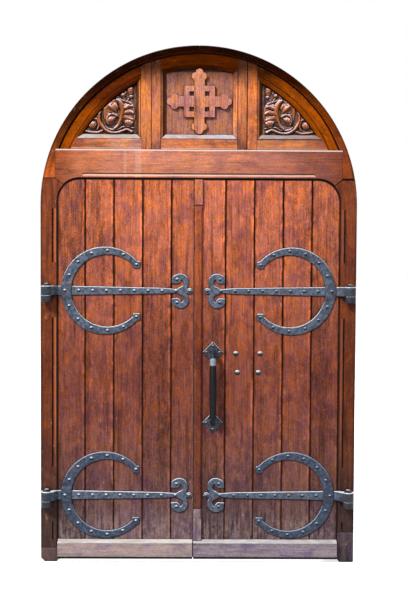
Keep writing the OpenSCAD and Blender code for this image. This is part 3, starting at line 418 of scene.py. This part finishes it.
def dress(node, mat, soft, angle=32):
    """A CAD node keeps its mesh: its edges are eased by modifiers, and it gets its material."""
    obj = nodes[node]
    for place in obj.material_slots:
        place.link = "OBJECT"
        place.material = mat
    weld = obj.modifiers.new("weld", "WELD")
    weld.merge_threshold = SAME_POINT
    flat = obj.modifiers.new("flat", "DECIMATE")
    flat.decimate_type = "DISSOLVE"
    flat.angle_limit = math.radians(FLAT_ANGLE)
    if soft:
        ease = obj.modifiers.new("ease", "BEVEL")
        ease.width = soft * MM
        ease.segments = 2
        ease.limit_method = "ANGLE"
        ease.angle_limit = math.radians(angle)
        ease.miter_outer = "MITER_ARC"


BOARD = dict(low=rgb(104, 76, 76), mid=rgb(126, 68, 56), top=rgb(186, 104, 80))
# How light each board is at its foot, middle and head.
TONES = {
    "left_board_1": (0.5, 0.88, 0.54),
    "left_board_2": (0.86, 1.0, 0.7),
    "left_board_3": (1.15, 0.9, 1.0),
    "left_board_4": (0.98, 0.74, 0.85),
    "left_board_5": (0.94, 0.84, 0.85),
    "right_board_1": (0.66, 0.7, 0.72),
    "right_board_2": (0.88, 1.02, 0.86),
    "right_board_3": (0.68, 0.92, 0.96),
    "right_board_4": (0.7, 1.0, 0.9),
    "right_board_5": (0.45, 0.8, 0.95),
}
SPLASH = ("z", 0.36, 0.13, rgb(116, 94, 98), 0.55)           # greyer near the floor
GAP_SHADE = ("door", CORNER_R - 0.003, 0.0075, 0.85)         # dark where the leaves meet the frame
STRIP_LIGHT = ("x", 0.0235, 0.006, 0.5, rgb(190, 118, 92))    # painted light beside the meeting strip, over its shadow
for index, (node, tone) in enumerate(TONES.items()):
    lines = [GAP_SHADE] + ([STRIP_LIGHT] if node == "right_board_1" else [])
    wood = oak(node, "z", 10 + index, tone=tone, tints=[SPLASH], boards=True, lines=lines, deep=0.3, **BOARD)
    dress(node, wood, SOFT_BOARD)

JAMB = dict(low=rgb(64, 46, 42), mid=rgb(104, 50, 28), top=rgb(118, 58, 34))
PLAIN = dict(low=JAMB["low"], mid=JAMB["mid"])    # for pieces so high that their top colour shows
RICH = dict(grey=0.04, spots=0.3, shine=0.0)
DULL = dict(shine=0.03)
DARK = rgb(20, 9, 5)
PALE_STREAK = rgb(236, 200, 180)
EDGE_SHADE = [("side", 0.828, 0.846, DARK, 0.6)]         # painted shade on the jambs' outer edges
RIM_SHADE = ("r", 0.832, 0.848, DARK, 0.7)               # painted shade on the arch's outer edge
SHADE = ("z", 2.53, 2.67, rgb(44, 18, 4), 0.95)    # under the arch
# painted shade along the steps of the mouldings and at the rim's inner edge
STEP_SHADES = [("r", 0.7285, 0.005, 0.8), ("r", 0.7548, 0.0035, 0.7), ("r", 0.8065, 0.006, 0.95)]
# splashed pale grey, with painted shade along the weatherboards' lower edge
SPLASH_AND_SHADE = dict(mid=rgb(150, 120, 112), top=rgb(150, 120, 112), dust_and_light=1.0,
                tints=[("z", 0.037, 0.034, rgb(5, 4, 4), 1.0)])


def sill(*colour):
    """What a rail with thick dust and painted light on its upper face adds to its look."""
    return dict(dust_and_light=0.95, dust_and_light_tint=colour)


FRAME_LOOKS = {
    # on the jambs: painted shade at the doorway's edge and in the edge grooves, and a painted highlight
    # beside each groove; the other lines are joints
    "left_jamb": dict(grain="z", tints=EDGE_SHADE, stops=GROOVES, **JAMB,
                      lines=[("door", CORNER_R + 0.0005, 0.004, 0.9), ("z", 2.067, 0.0035, 0.6),
                             ("mitre", MITRE_AT, 0.005, 0.6),
                             ("x", -0.782, 0.005, 0.9), ("x", -0.768, 0.005, 0.65, rgb(188, 104, 62))]),
    "right_jamb": dict(grain="z", tone=0.95, tints=EDGE_SHADE, stops=GROOVES, **JAMB,
                       lines=[("door", CORNER_R + 0.0005, 0.004, 0.7), ("z", 2.066, 0.006, 0.97),
                              ("mitre", MITRE_AT, 0.0065, 0.97),
                              ("x", 0.783, 0.0045, 0.85), ("x", 0.7705, 0.005, 0.5, rgb(150, 86, 64))]),
    "left_foot_block": dict(grain="z", low=rgb(96, 76, 72), mid=rgb(96, 76, 72), top=rgb(120, 70, 50)),
    "right_foot_block": dict(grain="z", low=rgb(80, 66, 74), mid=rgb(84, 68, 72), top=rgb(120, 70, 50)),
    "transom": dict(grain="x", top=rgb(140, 72, 40), dust_and_light_tint=(222, 196, 186), contrast=0.8, wear=0.05,
                    grey=0.13, warm=0.4,
                    tints=[("x", -0.76, -0.62, rgb(178, 104, 72), 1.0),
                           ("x", -0.62, -0.44, rgb(186, 118, 96), 1.0),
                           ("x", 0.0, 0.35, rgb(166, 102, 88), 1.0), ("x", 0.4, 0.62, rgb(130, 74, 62), 1.0),
                           ("x", 0.64, 0.76, rgb(116, 60, 44), 1.0)],
                    # on the transom: painted shade above the leaves and in the bead's groove, painted
                    # highlights on the bead and the top edge; the pale streaks are drips
                    lines=[("x", -0.325, 0.02, 0.16, PALE_STREAK), ("x", -0.395, 0.008, 0.14, PALE_STREAK),
                           ("door", CORNER_R - 0.0015, 0.0088, 0.99),
                           ("z", 2.0865, 0.005, 0.5, rgb(236, 208, 190), TRANSOM_REACH),
                           ("mitre", MITRE_AT, 0.004, 0.6),
                           ("z", 2.0945, 0.0032, 0.85, rgb(60, 30, 22), TRANSOM_REACH),
                           ("z", 2.2195, 0.0045, 0.85, rgb(226, 206, 200))],
                    **PLAIN),
    # the darkest tints high on the arch and the curved stiles are painted shade towards the crown
    "arch_left": dict(grain="arc", top=rgb(176, 88, 40), **PLAIN, **RICH,
                      lines=[("z", ARCH_FOOT, 0.003, 0.5)],
                      tints=[("z", 2.09, 2.2, rgb(118, 60, 34), 1.0), ("z", 2.2, 2.28, rgb(98, 48, 18), 1.0),
                             ("z", 2.27, 2.42, rgb(54, 22, 6), 1.0), ("z", 2.44, 2.6, rgb(30, 9, 3), 1.0),
                             RIM_SHADE]),
    "arch_right": dict(grain="arc", top=rgb(126, 62, 36), **PLAIN, **RICH,
                       lines=[("z", ARCH_FOOT, 0.005, 0.97)],
                       tints=[("z", 2.2, 2.38, rgb(110, 50, 10), 1.0),
                              ("z", 2.44, 2.6, rgb(42, 13, 2), 1.0),
                              ("z", 2.6, 2.68, rgb(27, 9, 4), 1.0), RIM_SHADE]),
    "left_curved_stile": dict(grain="arc", top=rgb(136, 64, 8), **PLAIN, **RICH, lines=STEP_SHADES,
                              tints=[("z", 2.4, 2.5, rgb(84, 34, 8), 1.0),
                                     ("z", 2.6, 2.66, rgb(52, 22, 5), 1.0)]),
    "right_curved_stile": dict(grain="arc", top=rgb(142, 68, 10), **PLAIN, **RICH, lines=STEP_SHADES,
                               tints=[("z", 2.5, 2.64, rgb(52, 22, 5), 1.0)]),
    # the lines on the uprights are painted shade along their inner chamfers
    "left_upright": dict(grain="z", top=rgb(184, 112, 76), tints=[SHADE], **PLAIN, **DULL,
                         lines=[("x", -0.3145, 0.003, 0.8), ("x", -0.3295, 0.0075, 0.85)]),
    "right_upright": dict(grain="z", top=rgb(196, 114, 74), tints=[SHADE], **PLAIN, **DULL,
                          lines=[("x", 0.3095, 0.004, 0.5), ("x", 0.3265, 0.0085, 0.9)]),
    "left_bottom_rail": dict(grain="x", top=rgb(172, 104, 72), **PLAIN, **sill(172, 164, 162),
                             tints=[("x", -0.52, -0.42, rgb(190, 130, 106), 1.0),
                                    ("x", -0.56, -0.66, rgb(138, 72, 46), 1.0)],
                             lines=[("z", SILL_EDGE, 0.003, 0.5),
                                    ("z", RAIL_FOOT, 0.004, 0.6, rgb(206, 168, 150))]),
    "right_bottom_rail": dict(grain="x", top=rgb(174, 110, 80), **PLAIN, **sill(150, 142, 146),
                              tints=[("x", 0.5, 0.66, rgb(140, 78, 56), 1.0)],
                              lines=[("z", SILL_EDGE, 0.004, 0.8),
                                     ("z", RAIL_FOOT, 0.004, 0.5, rgb(190, 150, 134))]),
    "centre_bottom_rail": dict(grain="x", top=rgb(178, 104, 70), **PLAIN, **sill(172, 184, 196),
                               lines=[("z", SILL_EDGE, 0.003, 0.6),
                                      ("z", RAIL_FOOT, 0.004, 0.6, rgb(206, 170, 154))]),
    # painted shade on the left moulding and along the mouldings' edges; the lines at 0.2565 are joints
    "centre_stiles": dict(grain="z", top=rgb(194, 118, 84), **PLAIN, **DULL,
                          tints=[("z", 2.3, 2.24, rgb(130, 84, 78), 0.9), SHADE],
                          lines=[("side", 0.2052, 0.004, 0.7), ("x", 0.2565, 0.005, 0.95),
                                 ("x", -0.2565, 0.0035, 0.7),
                                 ("x", -0.1895, 0.0085, 0.9), ("x", 0.1775, 0.003, 0.6)]),
    "centre_top_rail": dict(grain="x", top=rgb(66, 25, 1), **PLAIN, **RICH),
    # painted shade on the panel's left side and under its top rail
    "centre_panel": dict(grain="z", top=rgb(150, 98, 84), **PLAIN,
                         lines=[("x", -0.186, 0.012, 0.7), ("z", 2.65, 0.014, 0.9)],
                         tints=[("z", 2.57, 2.64, rgb(70, 40, 30), 0.75)]),
    "cross": dict(grain="z", top=rgb(188, 122, 102), shine=0.15, **PLAIN),
    # the line high on the carved panels is painted shade under the arch
    "left_carved_panel": dict(grain="z", top=rgb(88, 68, 66), contrast=1.6, **PLAIN, **DULL,
                              lines=[("z", 2.59, 0.06, 0.6)]),
    "right_carved_panel": dict(grain="z", top=rgb(118, 94, 92), contrast=1.6, **PLAIN, **DULL,
                               lines=[("z", 2.59, 0.06, 0.5)]),
    "left_weatherboard": dict(grain="x", warm=0.2, low=rgb(166, 146, 144), **SPLASH_AND_SHADE, contrast=0.7,
                              dust_and_light_tint=(198, 194, 190)),
    "right_weatherboard": dict(grain="x", warm=0.1, low=rgb(142, 128, 138), **SPLASH_AND_SHADE, contrast=0.8,
                               dust_and_light_tint=(192, 188, 190)),
    "meeting_strip": dict(grain="z", low=rgb(96, 56, 48), mid=rgb(106, 52, 38), top=rgb(160, 84, 56),
                          lines=[("z", 1.926, 0.004, 0.9), ("z", 0.296, 0.004, 0.9)],
                          tints=[("z", 1.924, 1.928, rgb(180, 108, 86), 0.9),
                                 ("z", 0.298, 0.294, rgb(150, 128, 134), 0.9)]),
    "left_ledges": dict(grain="x", **BOARD),
    "right_ledges": dict(grain="x", **BOARD),
    "left_braces": dict(grain="x", **BOARD),
    "right_braces": dict(grain="x", **BOARD),
}
# Pieces with wider soft edges.
WIDE = ("cross", "transom", "left_jamb", "right_jamb", "left_foot_block", "right_foot_block", "arch_left",
        "arch_right")
for index, (node, look) in enumerate(FRAME_LOOKS.items()):
    dress(node, oak(node, seed=40 + index, **look), SOFT_WIDE if node in WIDE else SOFT_OAK)

# the second colour of each iron is its painted highlight, on faces that look up
IRON_HIGHLIGHT = rgb(232, 238, 246)
EYE = [("side", 0.762, 0.782, 0.42), ("x", -0.775, -0.83, 0.7)]    # the eyes of the straps are darker, with painted shade on the left eyes' outer side
CALM = [(z, 0.06) for z in STRAP_Z]    # a crescent runs upright where it passes its strap
# round heads: painted highlight on their tops and painted shade under them
ROUND_HEAD = dict(hammer=0.2, rim=0.002, under=1.0, edges=False)
STRAP = iron("strap_iron", 1, rgb(84, 96, 114), IRON_HIGHLIGHT, rgb(56, 62, 76), darker=EYE, rim=0.007)
RUSTY_STRAP = iron("rusty_strap_iron", 12, rgb(82, 94, 112), IRON_HIGHLIGHT, rgb(54, 60, 74), rust=0.7, darker=EYE,
                   rim=0.007)
CRESCENT = iron("crescent_iron", 2, rgb(80, 90, 108), IRON_HIGHLIGHT, rgb(44, 50, 62), rim=0.008, upper=1.0, calm=CALM,
                darker=[("side", 0.66, 0.745, 0.82)])
LOW_CRESCENT = iron("low_crescent_iron", 10, rgb(64, 76, 98), rgb(196, 206, 222), rgb(34, 41, 56), rim=0.008,
                    upper=0.8, calm=CALM, darker=[("side", 0.66, 0.745, 0.72)])
NAIL = iron("nail_iron", 3, rgb(44, 48, 58), rgb(204, 212, 224), rgb(24, 26, 32), upper=0.8,
            rust=0.1, **ROUND_HEAD)
DARK_NAIL = iron("dark_nail_iron", 11, rgb(34, 40, 54), rgb(170, 182, 200), rgb(16, 19, 28), upper=0.6,
                 rust=0.1, **ROUND_HEAD)
PIN = iron("pin_iron", 4, rgb(40, 43, 50), rgb(190, 198, 210), rgb(18, 19, 23), 0.2, upper=0.9, rim=0.004)
BLACK = iron("black_iron", 5, rgb(30, 30, 35), rgb(110, 116, 130), rgb(18, 18, 22), 0.0, 0.2, 0.22, upper=0.6)
GRIP = iron("grip_iron", 7, rgb(15, 15, 19), rgb(90, 94, 106), rgb(8, 8, 11), 0.0, 0.2, 0.15, upper=0.3,
            rim=0.003, tints=[(1.07, 1.078, rgb(140, 152, 172), 0.85), (1.108, 1.116, rgb(40, 42, 50), 1.0)])
PLATE = iron("plate_iron", 6, rgb(60, 63, 74), IRON_HIGHLIGHT, rgb(10, 10, 14), 0.0, 0.6, rim=0.005, upper=1.0)
BOLT = iron("coach_iron", 9, rgb(62, 66, 72), rgb(196, 204, 210), rgb(30, 32, 36), upper=0.85, rust=0.0,
            **ROUND_HEAD)

for node in nodes:
    if node.endswith("_strap"):
        dress(node, RUSTY_STRAP if node == "right_lower_strap" else STRAP, SOFT_STRAP, IRON_ANGLE)
    elif node.endswith("_crescent"):
        dress(node, LOW_CRESCENT if "lower" in node else CRESCENT, SOFT_CRESCENT, IRON_ANGLE)
    elif node.endswith("_pintle"):
        dress(node, PIN, SOFT_PIN, IRON_ANGLE)
    elif node.endswith("_nails"):
        dress(node, DARK_NAIL if "right" in node else NAIL, 0)
    elif node == "pull_plates":
        dress(node, PLATE, SOFT_PLATE)
    elif node == "pull_grip":
        dress(node, GRIP, 0)
    elif node == "coach_bolts":
        dress(node, BOLT, 0)
    elif node not in TONES and node not in FRAME_LOOKS:
        dress(node, BLACK, SOFT_BOLT, IRON_ANGLE)


# New pieces
def add_piece(name, mesh, mat, body):
    """A new piece from its mesh, on its body."""
    mesh.materials.append(mat)
    obj = bpy.data.objects.new(name, mesh)
    bpy.context.collection.objects.link(obj)
    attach(obj, body)


# The carving, in mm to the right of and above the panel's lower inner corner.
# Strokes: points, half widths at the start, middle and end, height, and section, which is round, cup
# (hollow) or leaf (ribbed).
STROKES = (
    ([(106, 181), (90, 164), (79, 136), (79, 106)], (10, 17, 13), 21, "round"),
    ([(80, 110), (86, 78), (98, 48), (118, 30)], (13, 12, 8), 20, "round"),
    ([(112, 178), (136, 179), (158, 164), (169, 140), (171, 112), (167, 84)], (6.5, 8.5, 7.0), 13, "cup"),
    ([(106, 96), (128, 106), (150, 99), (161, 78), (154, 54)], (6.0, 8.5, 5.0), 17, "round"),
    ([(74, 138), (56, 142), (42, 150), (30, 148)], (10, 14, 9), 16, "round"),
    ([(74, 112), (54, 116), (36, 118), (22, 112)], (10, 14, 9), 15, "round"),
    ([(78, 90), (60, 88), (44, 84), (26, 78)], (9, 12, 8), 14, "round"),
    ([(15, 118), (20, 142), (38, 166), (66, 176), (97, 187)], (6.0, 8.0, 5.0), 9, "leaf"),
    ([(15, 116), (13, 92), (20, 68)], (6.0, 6.0, 5.0), 8, "leaf"),
    ([(30, 12), (52, 25), (75, 18), (103, 9), (132, 7), (159, 16), (184, 38), (200, 68), (202, 100),
      (195, 129), (182, 151), (167, 166)], (8.0, 10.2, 5.4), 17, "round"),
    ([(18, 33), (49, 40), (79, 38), (100, 26), (121, 22)], (3.8, 5.9, 3.8), 12, "round"),
    ([(100, 38), (124, 24), (151, 28), (168, 42)], (4.3, 7.0, 3.8), 15, "round"),
    ([(45, 188), (52, 172)], (4.3, 4.3, 4.3), 9, "round"),
    ([(73, 196), (62, 179)], (3.8, 4.3, 3.2), 9, "round"),
    ([(97, 195), (116, 199), (135, 191)], (2.7, 4.3, 2.7), 7, "round"),
    ([(206, 69), (218, 80), (242, 84)], (5.4, 7.5, 2.7), 13, "leaf"),
    ([(210, 68), (204, 46), (213, 25)], (5.9, 7.5, 4.8), 12, "round"),
    ([(187, 18), (210, 8), (239, 9), (266, 14), (284, 24)], (7.0, 8.0, 3.2), 13, "round"),
    ([(285, 22), (297, 8)], (3.2, 4.3, 2.7), 8, "round"),
    ([(204, 103), (218, 87)], (5.4, 4.8, 2.7), 9, "round"),
)
# Rounded masses: middle, half axes, turn in degrees, height and section.
OVALS = (
    ((132, 132), (43, 52), 0, 15, "round"),
    ((140, 79), (32, 34), 0, 15, "round"),
    ((60, 113), (46, 50), 0, 14, "round"),
    ((126, 142), (33, 28), 28, 25, "round"),
    ((140, 76), (24, 19), -20, 24, "round"),
    ((44, 60), (27, 20), 10, 19, "round"),
    ((36, 232), (16, 26), -5, 16, "leaf"),
    ((32, 199), (12, 11), 0, 14, "round"),
    ((75, 207), (13, 13), 0, 15, "round"),
    ((62, 221), (7, 8), 0, 8, "round"),
    ((32, 14), (12, 10), 0, 16, "round"),
    ((238, 48), (24, 23), 0, 18, "round"),
    ((274, 16), (9, 8), 0, 12, "round"),
)
# Hollows cut back to a low height: points, half width and what is left.
CUTS = (
    ([(116, 68)], 9.6, 1),
    ([(132, 45), (148, 48)], 5.4, 3),
    ([(127, 162), (137, 156)], 4.8, 7),
    ([(219, 58)], 8.0, 5),
    ([(100, 134), (104, 112)], 5.0, 2),
    ([(134, 112), (160, 116)], 4.5, 3),
    ([(98, 150), (108, 168)], 4.0, 3),
    ([(22, 41), (46, 36), (64, 44), (72, 62), (84, 66)], 4.5, 1),
    ([(26, 131), (44, 134), (60, 128)], 4.5, 2),
    ([(20, 96), (40, 101), (60, 102)], 4.5, 2),
    ([(22, 162), (36, 158), (52, 164)], 4.5, 2),
    ([(84, 65), (95, 42)], 3.2, 4),
)
CARVED_U, CARVED_V = (2, 330), (-2, 292)   # what the grid of the relief covers
GRID_STEP = 1.5
LOBE_MIDDLE, LOBES = (96, 105), 9          # the large masses are lobed round this spot
LARGE = 30                                 # half width from which a mass is large
RIBS = 14                                  # ribs on each small mass
EDGE_SLOPE = 4                             # the relief rises from the panel's edges over this width
LEAST_HEIGHT = 0.4                         # what is lower is left out
HOLLOW_RISE = 26                           # how much higher a hollow is at its edge than in its middle
FAR = 9.0                                  # half widths from a line beyond which nothing is measured
NO_LIMIT = 99                              # a height that nothing reaches
SMOOTHINGS = 2
GROUND_Y = PANEL_Y + 1.0                   # the relief starts from here, inside the panel's face
BACK_Y = PANEL_Y + 2.0                     # and is closed behind at this depth


def section(d, along, kind):
    """Height of a carved form over its width, 1 at the most: d runs from 0 in the middle to 1 at the edge."""
    d = np.clip(d, 0, 1)
    if kind == "round":
        return np.sqrt(1 - d ** 2)
    if kind == "cup":
        return np.sqrt(1 - d ** 6) * (0.6 + 0.4 * d ** 2)
    vein = 0.08 * (0.5 + 0.5 * np.sin(along / 1.9 + 2.5 * d))
    return np.sqrt(1 - d ** 4) * (0.76 + 0.24 * np.exp(-(d / 0.22) ** 2) - vein)


def smooth_line(points, steps=10):
    """A smooth line through the points, with how far along each of its points lies."""
    path = np.array(points, float)
    last = len(path) - 1
    if last == 0:
        return path, np.zeros(1)
    fine = np.linspace(0, last, steps * last + 1)
    i = np.minimum(fine.astype(int), last - 1)
    s = (fine - i)[:, None]
    p0, p1, p2, p3 = (path[np.clip(i + k, 0, last)] for k in (-1, 0, 1, 2))
    square = (2 * p0 - 5 * p1 + 4 * p2 - p3) * s ** 2
    cube = (3 * p1 - p0 - 3 * p2 + p3) * s ** 3
    return 0.5 * (2 * p1 + (p2 - p0) * s + square + cube), fine / last


def nearest(uu, vv, points, widths):
    """How far each spot is from a line, in its half widths, and how far along the line it is, in mm."""
    line, share = smooth_line(points)
    half = np.interp(share, (0, 0.5, 1), widths)
    best, run = np.full(uu.shape, FAR), np.zeros(uu.shape)
    length = np.hypot(*np.diff(line, axis=0).T).sum() if len(line) > 1 else 0.0
    for (px, py), w, f in zip(line, half, share):
        d = np.hypot(uu - px, vv - py) / w
        run = np.where(d < best, f * length, run)
        best = np.minimum(d, best)
    return best, run


def relief(uu, vv):
    """Height of the foliage at each spot of a panel."""
    height = np.zeros_like(uu)
    for (cx, cy), (ru, rv), turn, top, kind in OVALS:
        c, s = math.cos(math.radians(turn)), math.sin(math.radians(turn))
        du, dv = (uu - cx) * c + (vv - cy) * s, (vv - cy) * c - (uu - cx) * s
        lobes = np.zeros(uu.shape)
        ribs = 0.93 + 0.07 * np.cos(np.arctan2(dv + rv, du) * RIBS)
        if ru > LARGE:
            lobes = np.cos(np.arctan2(vv - LOBE_MIDDLE[1], uu - LOBE_MIDDLE[0]) * LOBES)
            ribs = 0.86 + 0.14 * lobes
        d = np.hypot(du / ru, dv / rv) * (1 - 0.07 * lobes)
        height = np.maximum(height, np.where(d < 1, section(d, dv, kind) * top * ribs, 0))
    for points, widths, top, kind in STROKES:
        d, run = nearest(uu, vv, points, widths)
        height = np.maximum(height, np.where(d < 1, section(d, run, kind) * top, 0))
    for points, width, left in CUTS:
        d, _ = nearest(uu, vv, points, (width, width, width))
        hollow = left + HOLLOW_RISE * np.clip(d, 0, 1) ** 2 + np.where(d < 1, 0, NO_LIMIT)
        height = np.minimum(height, hollow)
    from_arch = PANEL_R - np.hypot(PANEL_U0 + uu, PANEL_Z0 + vv - SPRING_Z)
    height *= np.clip(np.minimum(from_arch, np.minimum(uu, vv)) / EDGE_SLOPE, 0, 1)
    for _ in range(SMOOTHINGS):
        soft = height.copy()
        soft[1:-1, 1:-1] = (height[1:-1, 1:-1] * 4 + height[:-2, 1:-1] + height[2:, 1:-1] + height[1:-1, :-2]
                            + height[1:-1, 2:]) / 8
        height = soft
    return height


def open_edges(faces):
    """The edges that only one face has, each in the direction of that face."""
    edges = set()
    for face in faces:
        for edge in zip(face, face[1:] + face[:1]):
            if edge[::-1] in edges:
                edges.discard(edge[::-1])
            else:
                edges.add(edge)
    return sorted(edges)


def carving(name, side):
    """The foliage on one side panel: a relief that stands on the board and is closed behind it."""
    uu, vv = np.meshgrid(np.arange(*CARVED_U, GRID_STEP), np.arange(*CARVED_V, GRID_STEP), indexing="ij")
    height = relief(uu, vv)
    keep = height > LEAST_HEIGHT
    cell = keep[:-1, :-1] | keep[1:, :-1] | keep[:-1, 1:] | keep[1:, 1:]
    x, z = side * (PANEL_U0 + uu).ravel(), (PANEL_Z0 + vv).ravel()
    front = np.stack([x, (GROUND_Y - height).ravel(), z], 1)
    back = np.stack([x, np.full(uu.size, BACK_Y), z], 1)
    points = np.concatenate([front, back])
    index = np.arange(uu.size).reshape(uu.shape)
    corners = (index[:-1, :-1], index[1:, :-1], index[1:, 1:], index[:-1, 1:])
    faces = np.stack([corner[cell] for corner in corners], 1)
    behind = uu.size
    sides = [(q, p, p + behind, q + behind) for p, q in open_edges(faces.tolist())]
    shell = [tuple(face) for face in faces.tolist() + (faces[:, ::-1] + behind).tolist()] + sides
    if side < 0:
        shell = [face[::-1] for face in shell]
    used = sorted({i for face in shell for i in face})
    number = {old: new for new, old in enumerate(used)}
    mesh = bpy.data.meshes.new(name)
    mesh.from_pydata((points[used] * MM).tolist(), [], [tuple(number[i] for i in face) for face in shell])
    mesh.validate()
    mesh.polygons.foreach_set("use_smooth", [True] * len(mesh.polygons))
    add_piece(name, mesh, CARVED, "frame")


CARVED = oak("carved_oak", "z", 90, rgb(120, 66, 40), rgb(120, 66, 40), rgb(146, 76, 24), dust_and_light=0.7,
             dust_and_light_tint=(206, 198, 210), wear=0.0, contrast=0.9, shine=0.3, crevice=0.02, grey=0.16, carved=True)
carving("right_foliage", 1)
carving("left_foliage", -1)


def batten(name, low, high, soft, mat, body):
    """A squared batten between two corners, with its edges eased by soft, all in mm."""
    bm = bmesh.new()
    bmesh.ops.create_cube(bm, size=1)
    for v in bm.verts:
        v.co = Vector([(low[i] + high[i]) / 2 + v.co[i] * (high[i] - low[i]) for i in range(3)]) * MM
    bmesh.ops.bevel(bm, geom=list(bm.edges), offset=soft * MM, segments=2, affect="EDGES")
    mesh = bpy.data.meshes.new(name)
    bm.to_mesh(mesh)
    bm.free()
    add_piece(name, mesh, mat, body)


# a black sheet that stands in for the shade in the gap where the leaves meet
SHADE_SHEET = iron("shade_sheet", 8, rgb(14, 10, 10), rgb(26, 20, 20), rgb(8, 6, 6), 0.0, 0.2, 0.0)
batten("meeting_shade_sheet", (SHADE_SHEET_X[0], SHADE_SHEET_Y[0], LEAF_BOTTOM), (SHADE_SHEET_X[1], SHADE_SHEET_Y[1], LEAF_TOP), 0.3, SHADE_SHEET,
       "left_leaf")


# Floor, light and camera
FLOOR = (-60, 60, -60, 120)    # left, right, front and back of the floor, in metres
FLOOR_Z = -0.0005              # just under the jambs' feet
FLOOR_SEEN = rgb(250, 250, 250)  # the colour that the camera sees
FLOOR_LIT = rgb(150, 150, 152)   # the colour that it throws back on the door
FLOOR_GLOW = 0.7               # its own light, which is seen but lights nothing
SKY_RAMP = (-0.4, 0.9)         # heights on the sky between which its light rises
SKY_LIGHT = (0.1, 0.52)        # its light at those heights
AIM = (0, 0, 1.4)              # what the lamps point at
CAMERA_AT = (-0.01211, -5.3026, 1.59486)       # worked out from the joints and straps in the picture
YAW, PITCH, ROLL = -0.0079, -0.039, -0.0051    # turns away from a level view along +Y, in radians
LENS, SENSOR = 58.17, 36       # focal length and the sensor's height, in mm
WHITE = (1, 1, 1, 1)

g = Graph(bpy.data.materials.new("floor"))
seen = g.seen()
plain = g.add("ShaderNodeBsdfDiffuse")
g.put(plain.inputs["Color"], g.mix(seen, FLOOR_LIT, FLOOR_SEEN))
glow = g.add("ShaderNodeEmission")
glow.inputs["Color"].default_value = WHITE
g.put(glow.inputs["Strength"], g.math("MULTIPLY", seen, FLOOR_GLOW))
both = g.add("ShaderNodeAddShader")
g.put(both.inputs[0], plain.outputs[0])
g.put(both.inputs[1], glow.outputs[0])
left, right, front, back = FLOOR
floor_mesh = bpy.data.meshes.new("floor")
floor_mesh.from_pydata([(left, front, FLOOR_Z), (right, front, FLOOR_Z), (right, back, FLOOR_Z),
                        (left, back, FLOOR_Z)], [], [(0, 1, 2, 3)])
floor_mesh.materials.append(g.shade(both))
floor = bpy.data.objects.new("floor", floor_mesh)
bpy.context.collection.objects.link(floor)

g = Graph(bpy.data.worlds.new("studio"), "ShaderNodeOutputWorld")
sky, white = g.add("ShaderNodeBackground"), g.add("ShaderNodeBackground")
up = g.split(g.add("ShaderNodeTexCoord").outputs["Generated"])[2]
g.put(sky.inputs["Strength"], g.fade(up, *SKY_RAMP, *SKY_LIGHT, kind="LINEAR"))
g.put(sky.inputs["Color"], WHITE)
g.put(white.inputs["Color"], WHITE)
chosen = g.add("ShaderNodeMixShader")
g.put(chosen.inputs[0], g.seen())
g.put(chosen.inputs[1], sky.outputs[0])
g.put(chosen.inputs[2], white.outputs[0])
bpy.context.scene.world = g.shade(chosen)


def lamp(name, at, size, watts, colour):
    """A square area lamp that points at the door."""
    data = bpy.data.lights.new(name, "AREA")
    data.size = size
    data.energy = watts
    data.color = colour
    obj = bpy.data.objects.new(name, data)
    obj.location = at
    obj.rotation_euler = (Vector(AIM) - Vector(at)).to_track_quat("-Z", "Y").to_euler()
    bpy.context.collection.objects.link(obj)


lamp("key", (-6.2, -7.2, 9.0), 2.4, 1900, (1.0, 0.985, 0.96))
lamp("fill", (1.0, -10.0, 4.0), 4.0, 120, (0.96, 0.98, 1.0))
lamp("back", (5.5, 8.5, 6.5), 3.0, 900, (0.98, 0.99, 1.0))

camera_data = bpy.data.cameras.new("camera")
camera_data.sensor_fit = "VERTICAL"
camera_data.sensor_height = SENSOR
camera_data.lens = LENS
camera = bpy.data.objects.new("camera", camera_data)
turn = Matrix.Rotation(YAW, 4, "Z") @ Matrix.Rotation(PITCH, 4, "X") @ Matrix.Rotation(ROLL, 4, "Y")
level = Matrix.Rotation(math.radians(90), 4, "X")
camera.matrix_world = Matrix.Translation(CAMERA_AT) @ turn @ level
bpy.context.collection.objects.link(camera)
bpy.context.scene.camera = camera
bpy.context.scene.view_settings.view_transform = "Standard"
